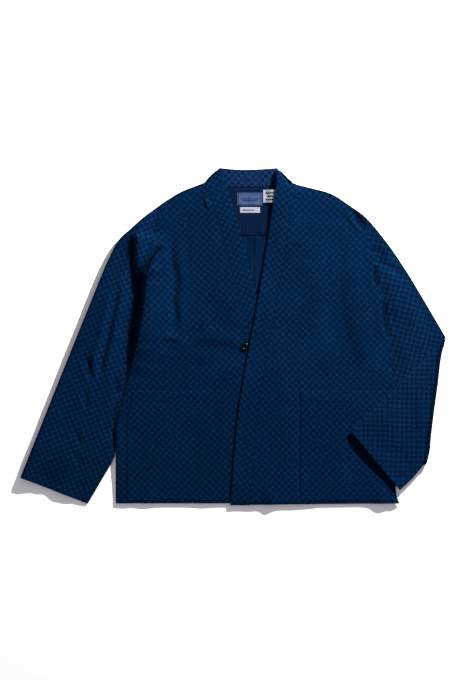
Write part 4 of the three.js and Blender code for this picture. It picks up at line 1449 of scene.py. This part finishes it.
    def right_forearm(self) -> None:
        """The turn of the fold and the forearm lying back over upper arm and body."""
        plan = Patch(Path(ELBOW_FOLD), Path([FOREARM_OUTER[1], FOREARM_INNER[2]]),
                     Path(FOREARM_OUTER), Path(FOREARM_INNER))
        tip_x, tip_y = FOREARM_OUTER[0]
        rings = []
        for angle in np.linspace(0.02, 0.93, 15) * math.pi:

            def turn(x: np.ndarray, y: np.ndarray, z: np.ndarray, angle: float = angle) -> np.ndarray:
                """Points carried round the fold by the angle, less so near its outer tip."""
                near_tip = ease(np.hypot(x - tip_x, y - tip_y) / self.tip_reach)
                out = (FOLD_CENTRE - z) * math.sin(angle) * near_tip
                return np.stack([x + out * self.fold_out[0], y + out * self.fold_out[1],
                                 FOLD_CENTRE - (FOLD_CENTRE - z) * math.cos(angle)], axis=-1)

            rings.append(self.ring(plan, 0.0, level(0.0), level(FOLD_CENTRE - self.lay.fold_gap),
                                   turn))
        long = self.forearm_length
        for d in spacing(long, (0, 2, 4), self.step, self.near_cuff):
            flat = self.ring(plan, d / long, self.lay.forearm_low, self.lay.forearm_high,
                             hem=self.pinch(d, long))
            across = len(flat.outer) // 2 + 1
            rings.append(Ring(*(self.overturned(loop, across) for loop in (flat.outer, flat.inner))))
        piece = self.tube("haori_sleeve_right_forearm", rings, self.finishes.sleeve,
                          self.finishes.inside, Grain.SLEEVE_RIGHT_FOREARM, self.lay.edge_shade)
        declare(piece, "sleeve_right_forearm", (318, 286))

    @staticmethod
    def overturned(loop: np.ndarray, across: int) -> np.ndarray:
        """Exchanges a loop's lower and upper rows; both keep their shared ends.

        Args:
            loop: (n, 3) points, the lower row first.
            across: how many of them are in the lower row.

        Returns:
            The turned loop.
        """
        down = loop[:across]
        up = np.vstack([down[:1], loop[across:][::-1], down[-1:]])
        return np.vstack([up, down[1:-1][::-1]])


# ---------------------------------------------------------------- labels and fastening
@dataclass
class Labels:
    """Woven labels on the yoke, with plain lines in place of any words."""

    finishes: Finishes
    near: tuple[float, ...] = (0, 0.4, 1.2)
    step: float = 2.0
    thick: float = 0.5
    bar_high: float = 0.4  # how far the woven bars rise off the tape

    def build(self) -> None:
        """Makes the three labels and their generic weave lines."""
        for node, material, slot in (("label_main", self.finishes.blue, "label_blue"),
                                     ("label_small", self.finishes.pale, "label_white"),
                                     ("label_care", self.finishes.pale, "label_white")):
            low, high = box_of(node)
            x = spacing(high[0] - low[0], self.near, self.step) + low[0]
            y = high[1] - spacing(high[1] - low[1], self.near, self.step)
            rows = np.stack(np.meshgrid(x, y), axis=-1)

            def tape(px: np.ndarray, py: np.ndarray, low=low, high=high) -> np.ndarray:
                """Height of the tape's ripples, its rolled edges and its lean."""
                edge = np.minimum(np.minimum(px - low[0], high[0] - px),
                                  np.minimum(py - low[1], high[1] - py))
                flat = 0.25 * np.sin((px + py) / 9) ** 2 - 0.2 * (1 - roll(edge, 0.8))
                return flat + self.propped(node, px)

            piece = wall(f"haori_{node}", rows, level(low[2]), self.thick, material, 0.0, trim=tape)
            declare(piece, node, (high[0] - low[0], high[1] - low[1]))
        self.lines("label_main", self.finishes.motif, ((0.5, 0.78, 0.10, 0.16),))
        self.lines("label_main", self.finishes.yoke,
                   ((0.5, 0.93, 0.9, 0.03), (0.5, 0.07, 0.9, 0.03), (0.05, 0.5, 0.016, 0.86),
                    (0.95, 0.5, 0.016, 0.86), (0.5, 0.52, 0.74, 0.05), (0.5, 0.38, 0.6, 0.05)),
                   "frame")
        self.lines("label_small", self.finishes.yoke, ((0.42, 0.5, 0.6, 0.14),))
        self.lines("label_care", self.finishes.cord,
                   [(0.22 + 0.115 * k, cy, 0.085, 0.11) for cy in (0.76, 0.5, 0.24)
                    for k in range(5) if cy != 0.5 or k in (1, 2, 3)])

    @staticmethod
    def propped(node: str, x: np.ndarray | float) -> np.ndarray:
        """How far the care label leans up towards the standing collar."""
        return 5.5 * ease((x - 64) / 18) * (node == "label_care")

    def lines(self, node: str, material: bpy.types.Material,
              bars: Sequence[tuple[float, float, float, float]], word: str = "lines") -> None:
        """Raised woven bars on a label.

        Args:
            node: the label's CAD node.
            material: the thread's finish.
            bars: centre and size of each bar, as shares of the label.
            word: end of the piece's name.
        """
        low, high = box_of(node)
        size = high - low
        base = float(high[2]) + ON_CLOTH
        points, faces = [], []
        for cx, cy, w, h in bars:
            x0, x1 = (low[0] + size[0] * (cx + way * w / 2) for way in (-1, 1))
            y0, y1 = (low[1] + size[1] * (cy + way * h / 2) for way in (-1, 1))
            n = len(points)
            points += [(px, py, base + rise + float(self.propped(node, px)))
                       for rise in (0, self.bar_high)
                       for px, py in ((x0, y0), (x1, y0), (x1, y1), (x0, y1))]
            faces += [(n + 3, n + 2, n + 1, n), (n + 4, n + 5, n + 6, n + 7),
                      *((n + k, n + (k + 1) % 4, n + 4 + (k + 1) % 4, n + 4 + k) for k in range(4))]
        piece = make_mesh(f"haori_{node}_{word}", np.array(points), faces, material)
        for polygon in piece.data.polygons:
            polygon.use_smooth = False
        follow(piece)


@dataclass
class Fastening:
    """The black shank button and the cord loop that closes round it."""

    finishes: Finishes
    x: float = 24.6
    y: float = -21.2
    radius: float = 7.6
    neck: float = 2.2
    height: float = 2.4
    sunk: float = 2.8  # how far the top settles below its solid's
    cord: float = 1.0
    cord_sunk: float = 0.6  # the same for the cord

    def build(self) -> None:
        """Makes the button and the loop."""
        low, high = box_of("button")
        head = high[2] - self.height - self.sunk
        shank = ((0, low[2]), (self.neck, low[2]), (self.neck, head - 0.2), (self.neck + 0.5, head))
        top = ((across * self.radius, head + up * self.height) for across, up in BUTTON_SECTION)
        self.lathe("haori_button", (*shank, *top), 64)
        self.loop()

    def lathe(self, name: str, profile: Sequence[tuple[float, float]], sides: int) -> None:
        """Turns a profile about the button's axis.

        Args:
            name: the piece's name.
            profile: (radius, height) rows, from the axis out and back to it.
            sides: how many sides the turned piece has.
        """
        angles = np.linspace(0, 2 * math.pi, sides, endpoint=False)
        points = [(self.x, self.y, profile[0][1])]
        for radius, z in profile[1:-1]:
            points += [(self.x + radius * math.cos(a), self.y + radius * math.sin(a), z)
                       for a in angles]
        points.append((self.x, self.y, profile[-1][1]))
        rings = len(profile) - 2
        faces: list[tuple[int, ...]] = []
        for k in range(sides):
            nxt = (k + 1) % sides
            faces.append((0, 1 + nxt, 1 + k))
            for r in range(rings - 1):
                a, b = 1 + r * sides, 1 + (r + 1) * sides
                faces.append((a + k, a + nxt, b + nxt, b + k))
            last = 1 + (rings - 1) * sides
            faces.append((last + k, last + nxt, len(points) - 1))
        piece = make_mesh(name, np.array(points), faces, self.finishes.button)
        stand_for(piece, "button")

    def loop(self) -> None:
        """The twisted cord from the right front's edge round the button's neck and back."""
        height = float(box_of("button_loop")[0][2]) + self.cord - self.cord_sunk
        reach = self.neck + self.cord + 0.4
        x, y = self.x, self.y
        route = Path([(x + 10.2, y + 21), (x + 4.5, y + 13), (x - 1, y + 6.5), (x - reach, y),
                      (x - 0.7 * reach, y - 0.8 * reach), (x, y - reach),
                      (x + 3.5, y - reach + 0.3)])
        steps, sides = 90, 14
        centre = route.at(np.linspace(0, 1, steps))
        side = sideways(centre)
        points, faces = [], []
        for i in range(steps):
            for k in range(sides):
                a = 2 * math.pi * k / sides
                r = self.cord * (0.9 + 0.1 * math.cos(3 * a + i * 0.9))
                px, py = centre[i] + side[i] * r * math.cos(a)
                points.append((px, py, height + r * math.sin(a)))
        for i in range(steps - 1):
            for k in range(sides):
                nxt = (k + 1) % sides
                a, b = i * sides, (i + 1) * sides
                faces.append((a + k, b + k, b + nxt, a + nxt))
        faces += [tuple(range(sides)), tuple(range(steps * sides - 1, (steps - 1) * sides - 1, -1))]
        piece = make_mesh("haori_button_loop", np.array(points), faces, self.finishes.cord)
        stand_for(piece, "button_loop")


# ---------------------------------------------------------------- stitches
@dataclass
class Stitching:
    """Rows of small raised stitches, joined into one piece for each panel."""

    lay: Lay
    finishes: Finishes
    pitch: float = 3.0
    length: float = 2.3
    radius: float = 0.28

    def build(self) -> None:
        """Sews hems, pockets, band and yoke."""
        left, right = self.lay.under_left, self.lay.under_right

        def on(under: Height, thickness: float) -> Height:
            """The face of a wall with that lower face."""
            return lambda x, y: under(x, y) + thickness

        self.sew("front_left", on(left, CLOTH - 0.1), [
            [(-240, HEM_Y + 20), (-8, HEM_Y + 20)]])
        self.sew("front_right", on(right, CLOTH - 0.1), [[(36, HEM_Y + 18), (338, HEM_Y + 18)]])
        pocket = CLOTH + ON_FRONT + POCKET_CLOTH - 0.1
        self.sew("pocket_left", on(left, pocket), [
            [(-213, -116), (-214, -150), (-222, -196), (-222, HEM_Y + 8)],
            [(-18, -116), (-18, HEM_Y + 8)], [(-211, -136), (-19, -136)],
            [(-23, -116), (-23, -136)]])
        self.sew("pocket_right", on(right, pocket), [
            [(142, -116), (142, HEM_Y + 8)], [(142, -136), (247, -136)], [(147, -116), (147, -136)]])
        for name, edge, way, under in (("band_left", EDGE_LEFT, -1, left),
                                       ("band_right", EDGE_RIGHT, 1, right)):
            seam = Path(shifted(edge[1:], way * (BAND_WIDTH - 2.4))).line
            stop = seam[seam[:, 1] > (20 if way < 0 else -400)]
            self.sew(name, on(under, BAND_CLOTH - 0.55), [stop], self.finishes.seam_thread)
        self.sew("yoke", level(box_of("back_yoke")[1][2] - 0.15), [
            [(-30, 218.1), (80, 218.1)], [(-29, 217.4), (80, 217.4)],
            [(-30, 213.4), (80, 213.4)]], self.finishes.cord)

    def sew(self, name: str, surface: Height, rows: Sequence[Points],
            thread: bpy.types.Material | None = None) -> None:
        """Lays stitches on a surface along rows.

        Args:
            name: the panel's name.
            surface: height of the cloth's face.
            rows: plan lines, each joined by straight stretches.
            thread: its finish, or None for the jacket's own.
        """
        hexagon = [(math.cos(a), math.sin(a)) for a in np.linspace(0, 2 * math.pi, 6, endpoint=False)]
        points, faces = [], []
        for row in rows:
            line = Path(row, straight=True)
            count = int(line.length / self.pitch)
            ends = [line.at((np.arange(count) * self.pitch + shift) / line.length)
                    for shift in (0.0, self.length)]
            high = [surface(e[:, 0], e[:, 1]) for e in ends]
            for i in range(count):
                a = np.array([*ends[0][i], high[0][i]])
                b = np.array([*ends[1][i], high[1][i]])
                way = (b - a) / np.linalg.norm(b - a)
                side = np.cross((0, 0, 1), way)
                up = np.cross(way, side)
                n = len(points)
                points.append(a - 0.1 * way - 0.1 * up)
                for share, grow in ((0.12, 0.75), (0.5, 1.0), (0.88, 0.75)):
                    centre = mix(a, b, share) + 0.25 * up * (1 - abs(2 * share - 1))
                    points += [centre + self.radius * grow * (side * c + up * s)
                               for c, s in hexagon]
                points.append(b + 0.1 * way - 0.1 * up)
                for k in range(6):
                    m = (k + 1) % 6
                    faces.append((n, n + 1 + m, n + 1 + k))
                    for ring in (0, 6):
                        faces.append((n + 1 + ring + k, n + 1 + ring + m, n + 7 + ring + m,
                                      n + 7 + ring + k))
                    faces.append((n + 13 + k, n + 13 + m, n + 19))
        piece = make_mesh(f"haori_stitches_{name}", np.array(points), faces,
                          thread or self.finishes.thread)
        follow(piece)


# ---------------------------------------------------------------- studio
@dataclass
class Studio:
    """Pale floor, one small lamp from the upper right, soft fill and the camera."""

    eye: tuple[float, float, float] = (-0.0021, -0.0074, 3.372)
    lens: float = 85.0
    lamp: tuple[float, float, float] = (1.106, 1.547, 0.889)
    lamp_size: float = 0.1
    lamp_power: float = 165.0
    fill: float = 0.46

    def build(self) -> None:
        """Sets floor, lights and camera."""
        self.floor()
        self.light()
        camera = bpy.data.objects.new("camera", bpy.data.cameras.new("camera"))
        camera.data.lens = self.lens
        camera.data.sensor_width = 36.0
        camera.data.clip_end = 50.0
        camera.location = self.eye
        bpy.context.scene.collection.objects.link(camera)
        bpy.context.scene.camera = camera
        bpy.context.scene.view_settings.view_transform = "Standard"

    def floor(self) -> None:
        """A plain pale sweep of paper."""
        mesh = bpy.data.meshes.new("floor")
        size, low = 8.0, -0.0002
        mesh.from_pydata([(-size, -size, low), (size, -size, low), (size, size, low),
                          (-size, size, low)], [], [(0, 1, 2, 3)])
        n = Nodes("pale_paper")
        spot = n.add("TexCoord").outputs["Object"]
        fleck = n.add("TexNoise", {"Vector": spot, "Scale": 40.0, "Detail": 2.0}).outputs[0]
        tone = n.blend(fleck, (0.9, 0.9, 0.9, 1), (0.92, 0.92, 0.92, 1))
        mesh.materials.append(n.finish(n.add("BsdfPrincipled", {
            "Base Color": tone, "Roughness": 0.9, "Specular IOR Level": 0.1})))
        floor = bpy.data.objects.new("floor", mesh)
        bpy.context.scene.collection.objects.link(floor)

    def light(self) -> None:
        """The lamp and the even fill of a white room."""
        data = bpy.data.lights.new("key", "AREA")
        data.shape = "DISK"
        data.size = self.lamp_size
        data.energy = self.lamp_power
        key = bpy.data.objects.new("key", data)
        key.location = self.lamp
        away = key.location.copy()
        key.rotation_mode = "QUATERNION"
        key.rotation_quaternion = away.to_track_quat("Z", "Y")
        bpy.context.scene.collection.objects.link(key)
        world = bpy.data.worlds.new("white_room")
        world.use_nodes = True
        world.node_tree.nodes["Background"].inputs["Color"].default_value = (0.99, 0.95, 1.04, 1)
        world.node_tree.nodes["Background"].inputs["Strength"].default_value = self.fill
        bpy.context.scene.world = world


def main() -> None:
    """Builds the studio, then the jacket around its frame, piece by piece."""
    logging.basicConfig(level=logging.INFO, format="%(name)s: %(message)s")
    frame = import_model()
    LOG.info("frame: %s", type(frame).__name__)
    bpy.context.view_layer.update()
    lay, finishes = Lay(), Finishes()
    for part in (Studio(), Body(lay, finishes), NeckBand(lay, finishes), Sleeves(lay, finishes),
                 Labels(finishes), Fastening(finishes), Stitching(lay, finishes)):
        part.build()
        LOG.info("%s done", type(part).__name__)


if __name__ == "__main__":
    main()
